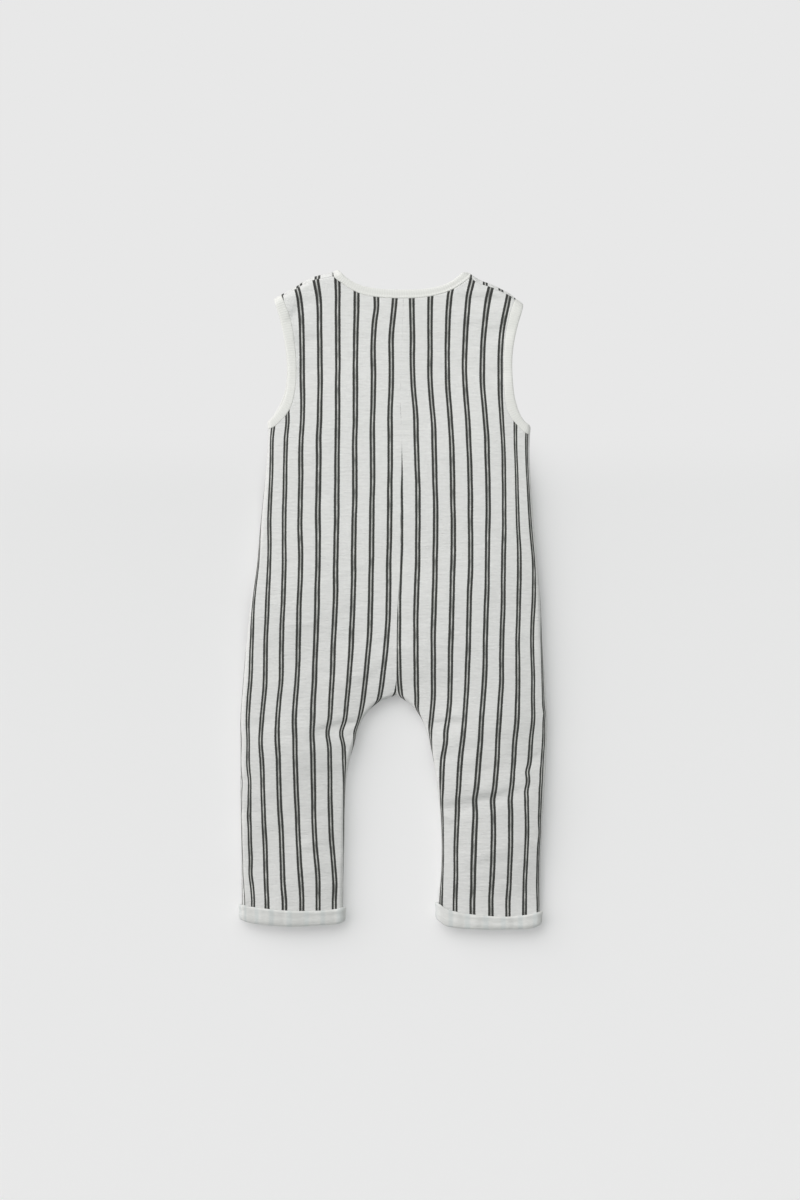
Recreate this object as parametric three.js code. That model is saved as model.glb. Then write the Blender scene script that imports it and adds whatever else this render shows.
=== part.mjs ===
import * as THREE from 'three';

// Sleeveless striped baby dungarees, lying on their front with the back uppermost.
// Millimetres. X runs to the right of someone who looks down on the back, Y from hem to neck and
// Z up from the surface. The cloth is two layers that turn into each other at the outline: the
// back layer above and the front layer below. Left and right are those of the onlooker.

// Walls and gaps
const JERSEY = 1.6;
const RIB_OUTSIDE = 0.2;
const RIB_INSIDE = -1.9;
const TURNUP = 1.9;
const SEAM = 0.3;
const BAND_GAP = 0.45;
const HEM_ROOM = 0.8;

// Height at which the cloth turns over at the outline, as a share of the height of the garment
const TURN_SHARE = 0.42;

// How far in from the outline each layer is still rounding over
const SIDE_ROLL = { back: 36, front: 12 };
const INSEAM_ROLL = { back: 26, front: 12 };
const SHOULDER_ROLL = { back: 6.5, front: 6.5 };

// The front cloth reaches over the shoulder to a seam on the back layer. Its last rows need some
// room beside the neckline, and its last column on the fold stands a little away from the neck.
const LIP_AT_ARMHOLE = 1.5;
const LIP_AT_NECK = 4.4;
const LIP_ROOM = { shoulder: 0.8, neckline: 2.4 };
const FOLD_INSET = 2.0;

const CROTCH = { x: 3, y: -84 };
const HEM_START = -255;
const UNDERARM = 147;
const TURNUP_LIFT_FROM = -254;
const TURNUP_LIFT_TO = -266;

/** Rows of numbers under named columns, as a list of objects. */
const table = (names, rows) => rows.map((row) => Object.fromEntries(names.map((n, i) => [n, row[i]])));

// Top of the back layer above the surface
const LOFT = table(['y', 'top'], [
  [-290, 14.4],
  [-258, 14.2],
  [-215, 15.0],
  [-160, 17.0],
  [-110, 18.4],
  [-40, 19.0],
  [60, 18.4],
  [150, 16.0],
  [225, 12.6],
  [291, 11.4],
]);

// The outline at the sides, from hem to underarm
const SIDES = table(['y', 'left', 'right'], [
  [-294, -133, 129],
  [-247, -133, 129.5],
  [-212, -133.5, 130.5],
  [-176, -134, 132.5],
  [-141, -134, 134.5],
  [-106, -134, 135.5],
  [-70, -131.5, 133.5],
  [-35, -128.5, 131],
  [0, -124.5, 129.5],
  [35, -119.5, 126.5],
  [70, -116, 123.5],
  [105, -112.5, 121],
  [130, -110.5, 120],
]);

// The inside of each leg, from hem to crotch
const INSEAMS = table(['y', 'left', 'right'], [
  [-294, -44, 39.5],
  [-266, -44, 39.5],
  [-240, -43.5, 42],
  [-215, -43, 42.5],
  [-185, -42.5, 41],
  [-158, -41, 38],
  [-141, -38, 35.5],
  [-127, -34, 32.5],
  [-115, -30.5, 29],
  [-105, -26.5, 25],
  [-98, -21.5, 20.5],
  [-92, -15, 15],
  [-88, -8.5, 9.5],
  [CROTCH.y, CROTCH.x, CROTCH.x],
]);

// Centre seams
const CENTRE = table(['y', 'back', 'front'], [
  [CROTCH.y, CROTCH.x, CROTCH.x],
  [-18, 3.5, 3.5],
  [0, 5.5, 4],
  [35, 8, 4.5],
  [150, 8, 5.5],
  [232, 8.5, 6],
  [264, 9.5, 6],
]);

// The turned-up hems, across each leg from the side to the inseam
const HEMS = table(['share', 'leftTop', 'leftBottom', 'rightTop', 'rightBottom'], [
  [0.00, -269.0, -281.5, -275.0, -283.0],
  [0.10, -271.0, -284.5, -277.5, -288.5],
  [0.30, -273.0, -286.5, -279.5, -289.8],
  [0.50, -274.3, -287.4, -279.0, -290.0],
  [0.75, -274.2, -286.3, -276.5, -289.3],
  [0.92, -273.0, -284.8, -272.5, -287.0],
  [1.00, -271.5, -282.0, -267.0, -282.0],
]);

// Sections across the rib bands, from the sewn edge to the open edge
const SECTION = ['sewnX', 'sewnY', 'openX', 'openY'];
const NECK_BACK = table(SECTION, [
  [-52.8, 288.1, -48.2, 290.1],
  [-51.6, 282.8, -45.5, 287.2],
  [-45.3, 278.0, -41.4, 283.2],
  [-37.8, 272.9, -34.3, 278.6],
  [-27.3, 268.0, -24.6, 275.1],
  [-11.4, 265.2, -10.6, 272.9],
  [9.5, 264.4, 9.5, 272.3],
  [27.3, 265.3, 26.4, 272.9],
  [44.0, 268.8, 41.4, 275.5],
  [55.4, 273.8, 51.0, 279.5],
  [63.8, 279.5, 58.1, 284.8],
  [67.6, 282.9, 61.6, 287.4],
  [68.6, 286.1, 64.5, 288.1],
]);
const NECK_FRONT = table(SECTION, [
  [-52.8, 288.1, -48.2, 290.1],
  [-51.5, 277.0, -44.0, 280.0],
  [-47.0, 262.0, -39.0, 266.0],
  [-36.0, 246.0, -29.5, 252.0],
  [-17.0, 235.5, -14.0, 243.5],
  [6.0, 232.0, 6.0, 240.0],
  [33.0, 235.5, 30.0, 243.5],
  [52.0, 246.0, 45.5, 252.0],
  [63.0, 262.0, 55.0, 266.0],
  [66.9, 276.0, 59.7, 279.0],
  [68.6, 286.1, 64.5, 288.1],
]);
const NECK_CENTRE = { back: 6, front: 5 };

// Armholes from shoulder to underarm; the front one lies further out by the last column
const ARMHOLE = {
  left: table([...SECTION, 'frontShift'], [
    [-98.4, 268.1, -105.0, 264.1, 0],
    [-94.3, 258.5, -102.3, 255.5, 0],
    [-90.0, 247.0, -99.3, 245.0, 0],
    [-87.0, 230.0, -95.6, 228.5, 0.4],
    [-85.1, 212.0, -93.0, 212.0, 1.0],
    [-84.9, 195.0, -92.6, 194.5, 1.2],
    [-86.3, 181.5, -94.0, 182.5, 1.6],
    [-89.0, 170.5, -96.4, 174.5, 2.0],
    [-94.0, 161.5, -100.5, 166.8, 2.0],
    [-99.6, 155.6, -104.5, 161.5, 1.4],
    [-104.5, 151.4, -107.8, 158.3, 0.6],
    [-109.8, 149.4, -110.4, 156.8, 0],
  ]),
  right: table([...SECTION, 'frontShift'], [
    [107.8, 264.7, 114.9, 259.6, 0],
    [104.3, 256.4, 112.9, 251.4, -0.6],
    [101.6, 246.5, 110.6, 244.0, -1.5],
    [99.2, 235.0, 107.9, 233.5, -2.2],
    [97.8, 222.0, 105.7, 221.0, -2.5],
    [97.2, 208.0, 104.7, 208.0, -2.5],
    [97.3, 193.0, 105.2, 192.5, -2.5],
    [98.1, 178.5, 106.7, 178.8, -2.2],
    [100.0, 167.0, 108.9, 170.0, -1.6],
    [104.2, 158.8, 111.5, 163.0, -1.0],
    [110.5, 151.2, 115.3, 157.0, -0.5],
    [115.5, 146.6, 118.5, 154.2, 0],
    [120.4, 144.4, 120.9, 152.6, 0],
  ]),
};

// The shoulder fold between the armhole and the neck
const SHOULDER = {
  left: table(['x', 'y'], [[-90.6, 272.3], [-84.9, 275.5], [-78.3, 279.9], [-71.3, 283.3], [-62.5, 285.8]]),
  right: table(['x', 'y'], [[76.6, 280.9], [85.4, 277.7], [94.2, 273.5], [103, 268.8]]),
};

// The largest creases of the back layer: a trough with a ridge along its upper side
const CREASES = table(['x', 'y', 'length', 'degrees', 'width', 'depth'], [
  [-55, -117, 44, 14, 4.5, 2.2],
  [-81, -125, 22, -4, 4.0, 1.3],
  [47, -110, 30, 4, 4.5, 1.6],
  [82, -177, 48, 15, 4.5, 1.9],
  [49, -197, 15, -20, 3.5, 1.2],
  [122, -36, 20, 5, 4.5, 1.1],
  [127, -142, 20, -8, 4.5, 1.2],
  [-115, -108, 22, 10, 4.5, 1.0],
  [-86, 251, 18, 62, 4.0, 1.2],
  [-82, 211, 16, 2, 4.5, 1.0],
  [-66, 272, 32, 18, 3.0, 0.8],
  [78, 264, 44, -3, 3.5, 1.0],
]);

// Where the grids have their columns and rows. The layers share the columns below the shoulder.
const SHOULDER_COLUMNS = [0, 0.02, 0.08, 0.17, 0.28, 0.39];
const COLUMNS = {
  back: [...SHOULDER_COLUMNS, 0.55, 0.70, 0.83, 0.92, 0.98, 1],
  front: [...SHOULDER_COLUMNS, 0.42, 0.46, 0.51, 0.58, 0.67, 0.78, 0.90, 1],
};
const NECK_COLUMN = SHOULDER_COLUMNS.length - 1;
const STRETCHES = table(['from', 'to', 'back', 'front'], [
  [HEM_START, -207, 5, 3],
  [-207, -163, 6, 3],
  [-163, -129, 4, 3],
  [-129, -99, 5, 4],
  [-99, CROTCH.y, 4, 4],
  [CROTCH.y, -48, 4, 3],
  [-48, 90, 8, 4],
  [90, UNDERARM, 4, 3],
]);
const HEM_ROWS = 4;
const ARMHOLE_ROWS = {
  back: [0.035, 0.08, 0.13, 0.19, 0.26, 0.34, 0.43, 0.53, 0.63, 0.73, 0.83, 0.91, 0.955, 0.98, 1],
  front: [0.035, 0.08, 0.14, 0.23, 0.36, 0.53, 0.73, 0.86, 0.93, 0.975, 1],
};
const NECK_COLUMNS = {
  back: [0.12, 0.28, 0.46, 0.66, 0.85, 1],
  front: [0, 0.07, 0.17, 0.29, 0.43, 0.6, 0.79, 1],
};
const ARMHOLE_REACH = 4;
const OUTLINE_STEP = 2;
const ON_OUTLINE = 0.12;

const { lerp, clamp, smoothstep, degToRad } = THREE.MathUtils;

/** A smooth function through a column of values, over rising keys: a cubic from row to row whose
 *  slope at each row is that of the line between its neighbours. */
function through(keys, values) {
  const slopes = keys.map((_, i) => {
    const before = Math.max(i - 1, 0);
    const after = Math.min(i + 1, keys.length - 1);
    return (values[after] - values[before]) / (keys[after] - keys[before]);
  });
  return (key) => {
    let i = 0;
    while (i < keys.length - 2 && key > keys[i + 1]) i += 1;
    const span = keys[i + 1] - keys[i];
    const t = clamp((key - keys[i]) / span, 0, 1);
    const rest = 1 - t;
    return values[i] * (1 + 2 * t) * rest * rest + values[i + 1] * (3 - 2 * t) * t * t
      + span * t * rest * (slopes[i] * rest - slopes[i + 1] * t);
  };
}

const column = (rows, key, name) => through(rows.map((row) => row[key]), rows.map((row) => row[name]));

/** Sections of a band as a function of the way along it and across it, both from 0 to 1. */
function band(rows) {
  const reach = [0];
  for (let i = 1; i < rows.length; i += 1) {
    const step = Math.hypot(rows[i].sewnX - rows[i - 1].sewnX, rows[i].sewnY - rows[i - 1].sewnY);
    reach.push(reach[i - 1] + step);
  }
  const length = reach[reach.length - 1];
  const marks = reach.map((way) => way / length);
  const [sewnX, sewnY, openX, openY] = SECTION.map((name) => through(marks, rows.map((row) => row[name])));
  const at = (along, across) => ({
    x: lerp(sewnX(along), openX(along), across),
    y: lerp(sewnY(along), openY(along), across),
  });
  return { at, length, marks };
}

const shifted = (rows, side) => rows.map((row) => ({
  ...row,
  sewnX: row.sewnX + side * row.frontShift,
  openX: row.openX + side * row.frontShift,
}));

const neck = { back: band(NECK_BACK), front: band(NECK_FRONT) };
const loftTop = column(LOFT, 'y', 'top');
const centreSeam = { back: column(CENTRE, 'y', 'back'), front: column(CENTRE, 'y', 'front') };

/** Everything that differs between the left and the right half. */
function half(name, side) {
  const armhole = { back: band(ARMHOLE[name]), front: band(shifted(ARMHOLE[name], side)) };
  const underarm = armhole.back.at(1, 0);
  const sideRows = [...SIDES, { y: underarm.y, [name]: underarm.x }];
  const start = side < 0 ? 0 : 1;
  const neckPoint = neck.back.at(start, 0);
  const tip = armhole.back.at(0, 0);
  const shoulderRows = [tip, ...SHOULDER[name], neckPoint].sort((a, b) => a.x - b.x);
  return {
    name,
    side,
    armhole,
    underarm,
    tip,
    neckPoint,
    neckStart: start,
    sideX: column(sideRows, 'y', name),
    inseamX: column(INSEAMS, 'y', name),
    shoulderY: column(shoulderRows, 'x', 'y'),
    hemTop: column(HEMS, 'share', `${name}Top`),
    hemBottom: column(HEMS, 'share', `${name}Bottom`),
  };
}
const HALVES = [half('left', -1), half('right', 1)];

/** Evenly spaced numbers from one value to another, both ends included. */
function steps(from, to, size) {
  const count = Math.ceil(Math.abs(to - from) / size);
  return Array.from({ length: count + 1 }, (_, i) => lerp(from, to, i / count));
}

/** The lines where the two layers turn into each other, each run with the outside on its right. */
function outlines() {
  const [left, right] = HALVES;
  const lowest = SIDES[0].y;
  const sidePoints = (h) => [
    h.armhole.back.at(1, 1),
    ...steps(h.underarm.y, lowest, OUTLINE_STEP).map((y) => ({ x: h.sideX(y), y })),
  ];
  const shoulderPoints = (h) => [
    neck.back.at(h.neckStart, 1),
    ...steps(h.neckPoint.x, h.tip.x, OUTLINE_STEP).map((x) => ({ x, y: h.shoulderY(x) })),
    h.armhole.back.at(0, 1),
  ];
  const legLevels = steps(lowest, CROTCH.y, OUTLINE_STEP / 2);
  const inside = [
    ...legLevels.map((y) => ({ x: left.inseamX(y), y })),
    ...legLevels.reverse().map((y) => ({ x: right.inseamX(y), y })),
  ];
  return [
    { roll: SIDE_ROLL, points: sidePoints(left) },
    { roll: SIDE_ROLL, points: sidePoints(right).reverse() },
    { roll: INSEAM_ROLL, points: inside },
    { roll: SHOULDER_ROLL, points: shoulderPoints(left) },
    { roll: SHOULDER_ROLL, points: shoulderPoints(right).reverse() },
  ];
}
const OUTLINES = outlines();

/** The nearest outline, as the share of its roll that is passed and the way out to it. */
function nearestOutline(x, y, layer) {
  let best = { share: Infinity };
  for (const { roll, points } of OUTLINES) {
    for (let i = 0; i + 1 < points.length; i += 1) {
      const dx = points[i + 1].x - points[i].x;
      const dy = points[i + 1].y - points[i].y;
      const squared = dx * dx + dy * dy;
      if (squared === 0) continue;
      const t = clamp(((x - points[i].x) * dx + (y - points[i].y) * dy) / squared, 0, 1);
      const awayX = points[i].x + t * dx - x;
      const awayY = points[i].y + t * dy - y;
      const distance = Math.hypot(awayX, awayY);
      const share = Math.max(distance - ON_OUTLINE, 0) / roll[layer];
      if (share >= best.share) continue;
      const length = Math.sqrt(squared);
      const out = distance < ON_OUTLINE
        ? { x: dy / length, y: -dx / length }
        : { x: awayX / distance, y: awayY / distance };
      best = { share, out, roll: roll[layer] };
    }
  }
  return best;
}

/** Height that the creases add: across a crease a trough and a smaller ridge, both bell curves,
 *  which fade along the crease towards its ends. */
function creases(x, y) {
  let height = 0;
  for (const crease of CREASES) {
    const angle = degToRad(crease.degrees);
    const along = (x - crease.x) * Math.cos(angle) + (y - crease.y) * Math.sin(angle);
    const across = (y - crease.y) * Math.cos(angle) - (x - crease.x) * Math.sin(angle);
    const fade = Math.exp(-((2 * along / crease.length) ** 4));
    const trough = Math.exp(-((across / crease.width) ** 2));
    const ridge = Math.exp(-((across / crease.width - 2) ** 2));
    height += crease.depth * fade * (0.6 * ridge - trough);
  }
  return height;
}

/** A place on a layer, moved out of its surface by offset. From the outline inwards the section is
 *  a quarter of an ellipse, as wide as the roll and as high as the layer's distance from the turn. */
function onLayer({ x, y, layer }, offset) {
  const base = (TURNUP + SEAM) * (1 - smoothstep(y, TURNUP_LIFT_TO, TURNUP_LIFT_FROM));
  const top = loftTop(y) - base;
  const turn = lerp(base, top, TURN_SHARE);
  const near = nearestOutline(x, y, layer);
  const cos = 1 - Math.min(near.share, 1);
  const sin = Math.sqrt(1 - cos * cos);
  const up = layer === 'back' ? 1 : -1;
  const rise = (layer === 'back' ? top - turn : turn - base) - SEAM / 2;
  const relief = layer === 'back' ? creases(x, y) * sin : 0;
  const tilt = cos / near.roll;
  const normal = new THREE.Vector3(near.out.x * tilt, near.out.y * tilt, up * sin / rise);
  const point = new THREE.Vector3(x, y, turn + up * (SEAM / 2 + rise * sin) + relief);
  point.addScaledVector(normal.normalize(), offset);
  point.z = Math.max(point.z, 0);
  return point;
}

/** Turns a closed set of triangles into a geometry whose faces point out. */
function solid(points, triangles) {
  let volume = 0;
  for (const [a, b, c] of triangles) {
    volume += points[a].dot(new THREE.Vector3().crossVectors(points[b], points[c]));
  }
  const index = triangles.flatMap(([a, b, c]) => (volume > 0 ? [a, b, c] : [a, c, b]));
  const geometry = new THREE.BufferGeometry();
  geometry.setAttribute('position', new THREE.Float32BufferAttribute(points.flatMap((p) => p.toArray()), 3));
  geometry.setIndex(index);
  geometry.computeVertexNormals();
  return geometry;
}

/** A wall over a grid of places: an outer and an inner face, closed round the four edges. Each
 *  four-cornered face is split along its shorter diagonal. */
function wall(grid, thickness) {
  const rows = grid.length;
  const columns = grid[0].length;
  const places = grid.flat();
  const points = [0, -thickness].flatMap((offset) => places.map((place) => onLayer(place, offset)));
  const at = (row, col, inside) => row * columns + col + (inside ? places.length : 0);
  const triangles = [];
  const quad = (a, b, c, d) => {
    const alongFirst = points[a].distanceTo(points[c]) <= points[b].distanceTo(points[d]);
    triangles.push(...(alongFirst ? [[a, b, c], [a, c, d]] : [[a, b, d], [b, c, d]]));
  };
  for (let r = 0; r + 1 < rows; r += 1) {
    for (let c = 0; c + 1 < columns; c += 1) {
      quad(at(r, c), at(r, c + 1), at(r + 1, c + 1), at(r + 1, c));
      quad(at(r, c, true), at(r + 1, c, true), at(r + 1, c + 1, true), at(r, c + 1, true));
    }
  }
  for (let c = 0; c + 1 < columns; c += 1) {
    quad(at(0, c, true), at(0, c + 1, true), at(0, c + 1), at(0, c));
    quad(at(rows - 1, c), at(rows - 1, c + 1), at(rows - 1, c + 1, true), at(rows - 1, c, true));
  }
  for (let r = 0; r + 1 < rows; r += 1) {
    quad(at(r, 0), at(r + 1, 0), at(r + 1, 0, true), at(r, 0, true));
    const end = columns - 1;
    quad(at(r, end, true), at(r + 1, end, true), at(r + 1, end), at(r, end));
  }
  return solid(points, triangles);
}

/** A closed ring, from the points of its closed section at each station round it. */
function ring(stations) {
  const around = stations.length;
  const sides = stations[0].length;
  const triangles = [];
  for (let i = 0; i < around; i += 1) {
    for (let j = 0; j < sides; j += 1) {
      const a = i * sides + j;
      const b = i * sides + (j + 1) % sides;
      const c = ((i + 1) % around) * sides + (j + 1) % sides;
      const d = ((i + 1) % around) * sides + j;
      triangles.push([a, b, c], [a, c, d]);
    }
  }
  return solid(stations.flat(), triangles);
}

/** Where a row meets the side and the middle of a half: its centre seam, or its inseam below. */
function acrossHalf(h, layer, y, share) {
  const middle = y >= CROTCH.y ? centreSeam[layer](y) + h.side * SEAM / 2 : h.inseamX(y);
  return lerp(h.sideX(y), middle, share);
}

/** Rows of a half from the hem up to the underarm. */
function bodyRows(h, layer) {
  const place = (y, share) => ({ x: acrossHalf(h, layer, y, share), y, layer });
  const columns = COLUMNS[layer];
  const hemRows = steps(0, 1, 1 / HEM_ROWS).slice(0, -1).map((t) => columns.map((share) => {
    const end = h.hemBottom(share) + JERSEY + HEM_ROOM;
    return place(lerp(end, HEM_START, t), share);
  }));
  const levels = [HEM_START];
  for (const stretch of STRETCHES) {
    const size = (stretch.to - stretch.from) / stretch[layer];
    levels.push(...steps(stretch.from, stretch.to, size).slice(1));
  }
  const slant = h.underarm.y - UNDERARM;
  const slantFrom = 90;
  const upperRows = levels.map((level) => columns.map((share) => {
    const part = clamp((level - slantFrom) / (UNDERARM - slantFrom), 0, 1);
    return place(level + slant * part * (1 - share), share);
  }));
  return [...hemRows, ...upperRows];
}

/** A point of the shoulder seam on the back layer, or nearer to the fold by shift. */
function shoulderSeam(h, index, shift) {
  const share = SHOULDER_COLUMNS[index] / SHOULDER_COLUMNS[NECK_COLUMN];
  const lip = lerp(LIP_AT_ARMHOLE, LIP_AT_NECK, share) - shift;
  const atArmhole = h.armhole.back.at(LIP_AT_ARMHOLE / h.armhole.back.length, 0);
  if (index === 0) return { ...h.armhole.back.at(lip / h.armhole.back.length, 0), layer: 'back' };
  const atNeck = neck.back.at(Math.abs(h.neckStart - LIP_AT_NECK / neck.back.length), 0);
  if (index === NECK_COLUMN) {
    return { ...neck.back.at(Math.abs(h.neckStart - lip / neck.back.length), 0), layer: 'back' };
  }
  const x = lerp(atArmhole.x, atNeck.x, share);
  return { x, y: h.shoulderY(x) - lip, layer: 'back' };
}

/** Ways along the neck curve of a half, from its start at the shoulder to the centre seam. */
function neckStops(h, layer) {
  const centre = neck[layer].marks[NECK_CENTRE[layer]];
  const first = layer === 'back' ? Math.abs(h.neckStart - LIP_AT_NECK / neck.back.length) : h.neckStart;
  return NECK_COLUMNS[layer].map((part) => lerp(first, centre, part));
}

/** The columns of a half along the neckline. Those of the front stand away from it by a part of the
 *  room that its last rows need, and less beside the shoulder. */
function neckEdge(h, layer, part) {
  const stops = neckStops(h, layer);
  return stops.map((along, index) => {
    const sewn = neck[layer].at(along, 0);
    const open = neck[layer].at(along, 1);
    const wide = smoothstep(NECK_COLUMNS[layer][index], 0, NECK_COLUMNS[layer][3]);
    const room = layer === 'back' ? 0 : part * lerp(LIP_ROOM.shoulder, LIP_ROOM.neckline, wide);
    const away = neck[layer].at(along, -room / Math.hypot(open.x - sewn.x, open.y - sewn.y));
    const onSeam = index === stops.length - 1 ? h.side * SEAM / 2 : 0;
    return { x: away.x + onSeam, y: away.y, layer };
  });
}

/** The upper edge of a half, column by column. On the front layer it is the shoulder fold and the
 *  neckline less the room for the last rows. */
function upperEdge(h, layer) {
  const shoulderSide = SHOULDER_COLUMNS.map((share, index) => {
    if (layer === 'back') return shoulderSeam(h, index, 0);
    const inner = h.neckPoint.x + h.side * FOLD_INSET;
    const x = lerp(h.tip.x, inner, share / SHOULDER_COLUMNS[NECK_COLUMN]);
    return { x, y: index === 0 ? h.tip.y : h.shoulderY(x), layer };
  });
  return [...shoulderSide, ...neckEdge(h, layer, 1)];
}

/** Rows of a half from the underarm to its upper edge: straight columns between the two, moved as
 *  the armhole and the centre seam leave a straight line, the armhole's part fading away quickly. */
function yokeRows(h, layer, lower) {
  const upper = upperEdge(h, layer);
  const columns = COLUMNS[layer];
  const last = columns.length - 1;
  const lip = layer === 'back' ? LIP_AT_ARMHOLE / h.armhole.back.length : 0;
  return ARMHOLE_ROWS[layer].map((part) => {
    const outer = h.armhole[layer].at(lerp(1, lip, part), 0);
    const middleY = lerp(lower[last].y, upper[last].y, part);
    const inner = { x: centreSeam[layer](middleY) + h.side * SEAM / 2, y: middleY };
    return columns.map((share, i) => {
      const blend = (axis) => {
        const straight = (index) => lerp(lower[index][axis], upper[index][axis], part);
        return straight(i) + (outer[axis] - straight(0)) * (1 - share) ** ARMHOLE_REACH
          + (inner[axis] - straight(last)) * share;
      };
      return { x: blend('x'), y: blend('y'), layer };
    });
  });
}

/** The rows that carry the front cloth over the shoulder fold, and end at the neckline beside it. */
function lipRows(h) {
  return [0.5, 1].map((part) => {
    const overShoulder = SHOULDER_COLUMNS.map((share, index) => {
      const lip = lerp(LIP_AT_ARMHOLE, LIP_AT_NECK, share / SHOULDER_COLUMNS[NECK_COLUMN]);
      return shoulderSeam(h, index, part < 1 ? lip * part : SEAM);
    });
    return [...overShoulder, ...neckEdge(h, 'front', 1 - part)];
  });
}

/** One half of the back or front, from hem to shoulder. */
function halfPanel(h, layer) {
  const body = bodyRows(h, layer);
  const yoke = yokeRows(h, layer, body[body.length - 1]);
  const lip = layer === 'front' ? lipRows(h) : [];
  return wall([...body, ...yoke, ...lip], JERSEY);
}

// Section of a rib band: way across it, and distance out of the cloth's surface
const RIB_SECTION = table(['across', 'out'], [
  [0, RIB_OUTSIDE],
  [0.5, RIB_OUTSIDE + 0.15],
  [0.93, RIB_OUTSIDE],
  [1, -0.5],
  [1, -1.2],
  [0.93, RIB_INSIDE],
  [0, RIB_INSIDE],
]);

/** A rib band: the section carried along its back half and back along its front half. */
function ribBand(halves, backStops, frontStops) {
  const station = (layer) => (along) => {
    const sewn = halves[layer].at(along, 0);
    const open = halves[layer].at(along, 1);
    const clear = BAND_GAP / Math.hypot(open.x - sewn.x, open.y - sewn.y);
    return RIB_SECTION.map(({ across, out }) => {
      const place = halves[layer].at(along, lerp(clear, 1, across));
      return onLayer({ ...place, layer }, out);
    });
  };
  return ring([...backStops.map(station('back')), ...frontStops.map(station('front'))]);
}

function armholeBand(h) {
  const lip = LIP_AT_ARMHOLE / h.armhole.back.length;
  const yokeStops = ARMHOLE_ROWS.back.slice(0, -1).reverse().map((part) => lerp(1, lip, part));
  const backStops = [0, lip / 2, lip, ...yokeStops, 1];
  const frontStops = [0, ...ARMHOLE_ROWS.front].map((part) => 1 - part);
  return ribBand(h.armhole, backStops, frontStops);
}

function neckBand() {
  const [left, right] = HALVES;
  const stops = (layer) => {
    const lip = layer === 'back' ? LIP_AT_NECK / neck.back.length : 0;
    const overLeft = layer === 'back' ? [0, lip / 2, lip] : [];
    const overRight = overLeft.map((along) => 1 - along).reverse();
    const rightStops = neckStops(right, layer).slice(0, -1).reverse();
    return [...overLeft, ...neckStops(left, layer), ...rightStops, ...overRight];
  };
  return ribBand(neck, stops('back'), stops('front').reverse());
}

// Section of a turned-up hem: part of the way down from its top edge, rise above its bottom edge,
// and distance out of the leg's surface
const TURNUP_SECTION = table(['down', 'rise', 'out'], [
  [0, 0, SEAM],
  [0, 0, SEAM + 1.3],
  [0, -0.8, SEAM + TURNUP],
  [1, 1.8, SEAM + TURNUP],
  [1, 0.5, SEAM + 1.2],
  [1, 0, SEAM],
  [1, 0, -0.8],
  [1, 0.4, -1.4],
  [1, JERSEY, -JERSEY],
  [1, JERSEY, SEAM],
]);

/** A turned-up hem: the leg's cloth folded outwards and up round the end of the leg. */
function turnup(h) {
  const station = (layer) => (share) => TURNUP_SECTION.map(({ down, rise, out }) => {
    const y = lerp(h.hemTop(share), h.hemBottom(share), down) + rise;
    return onLayer({ x: acrossHalf(h, layer, y, share), y, layer }, out);
  });
  return ring([...COLUMNS.back.map(station('back')), ...COLUMNS.back.toReversed().map(station('front'))]);
}

const jersey = new THREE.MeshStandardMaterial({ color: 0xdfe2dd, roughness: 0.95, metalness: 0 });
const rib = new THREE.MeshStandardMaterial({ color: 0xdadbd7, roughness: 0.92, metalness: 0 });
const reverse = new THREE.MeshStandardMaterial({ color: 0xd6d8d6, roughness: 0.96, metalness: 0 });

const dungarees = new THREE.Group();
function add(name, geometry, material) {
  const mesh = new THREE.Mesh(geometry, material);
  mesh.name = name;
  dungarees.add(mesh);
}

for (const h of HALVES) {
  add(`back_${h.name}`, halfPanel(h, 'back'), jersey);
  add(`front_${h.name}`, halfPanel(h, 'front'), jersey);
  add(`armhole_band_${h.name}`, armholeBand(h), rib);
  add(`turnup_${h.name}`, turnup(h), reverse);
}
add('neck_band', neckBand(), rib);

// The origin is under the middle of the whole garment
const box = new THREE.Box3().setFromObject(dungarees);
const middle = box.getCenter(new THREE.Vector3());
for (const mesh of dungarees.children) mesh.position.set(-middle.x, -middle.y, -box.min.z);

export default dungarees;
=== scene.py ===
"""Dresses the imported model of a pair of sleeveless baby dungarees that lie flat, back uppermost."""

import math

import bpy
import numpy as np
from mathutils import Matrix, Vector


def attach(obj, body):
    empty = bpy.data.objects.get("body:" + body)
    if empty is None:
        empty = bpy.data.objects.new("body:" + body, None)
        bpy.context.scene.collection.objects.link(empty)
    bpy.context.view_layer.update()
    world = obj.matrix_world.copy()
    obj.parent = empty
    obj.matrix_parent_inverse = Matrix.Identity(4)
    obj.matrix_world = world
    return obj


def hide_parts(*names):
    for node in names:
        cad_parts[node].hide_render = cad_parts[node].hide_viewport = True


bl_info = {
    "name": "Striped baby dungarees",
    "version": (1, 0, 0),
    "blender": (4, 5, 0),
    "location": "3D View > Sidebar > Dungarees",
    "description": "Striped jersey, rib bands and turned-up hems for a one-piece that lies flat",
    "category": "Add Mesh",
}

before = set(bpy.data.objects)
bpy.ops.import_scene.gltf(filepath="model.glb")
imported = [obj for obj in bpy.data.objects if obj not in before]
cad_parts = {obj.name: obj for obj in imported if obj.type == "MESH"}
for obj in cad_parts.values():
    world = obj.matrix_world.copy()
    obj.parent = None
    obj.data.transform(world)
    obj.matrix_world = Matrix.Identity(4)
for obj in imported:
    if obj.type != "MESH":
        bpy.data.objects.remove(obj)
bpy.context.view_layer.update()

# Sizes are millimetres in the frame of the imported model: X to the onlooker's right, Y from hem to
# neck, Z up. Left and right are those of the onlooker, who sees the back of the garment.
MM = 0.001
LAYERS = ("back", "front")

# The layers turn into each other at this share of the garment's height, a hair's breadth apart
TURN_SHARE = 0.56
SLIT = 0.06

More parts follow.
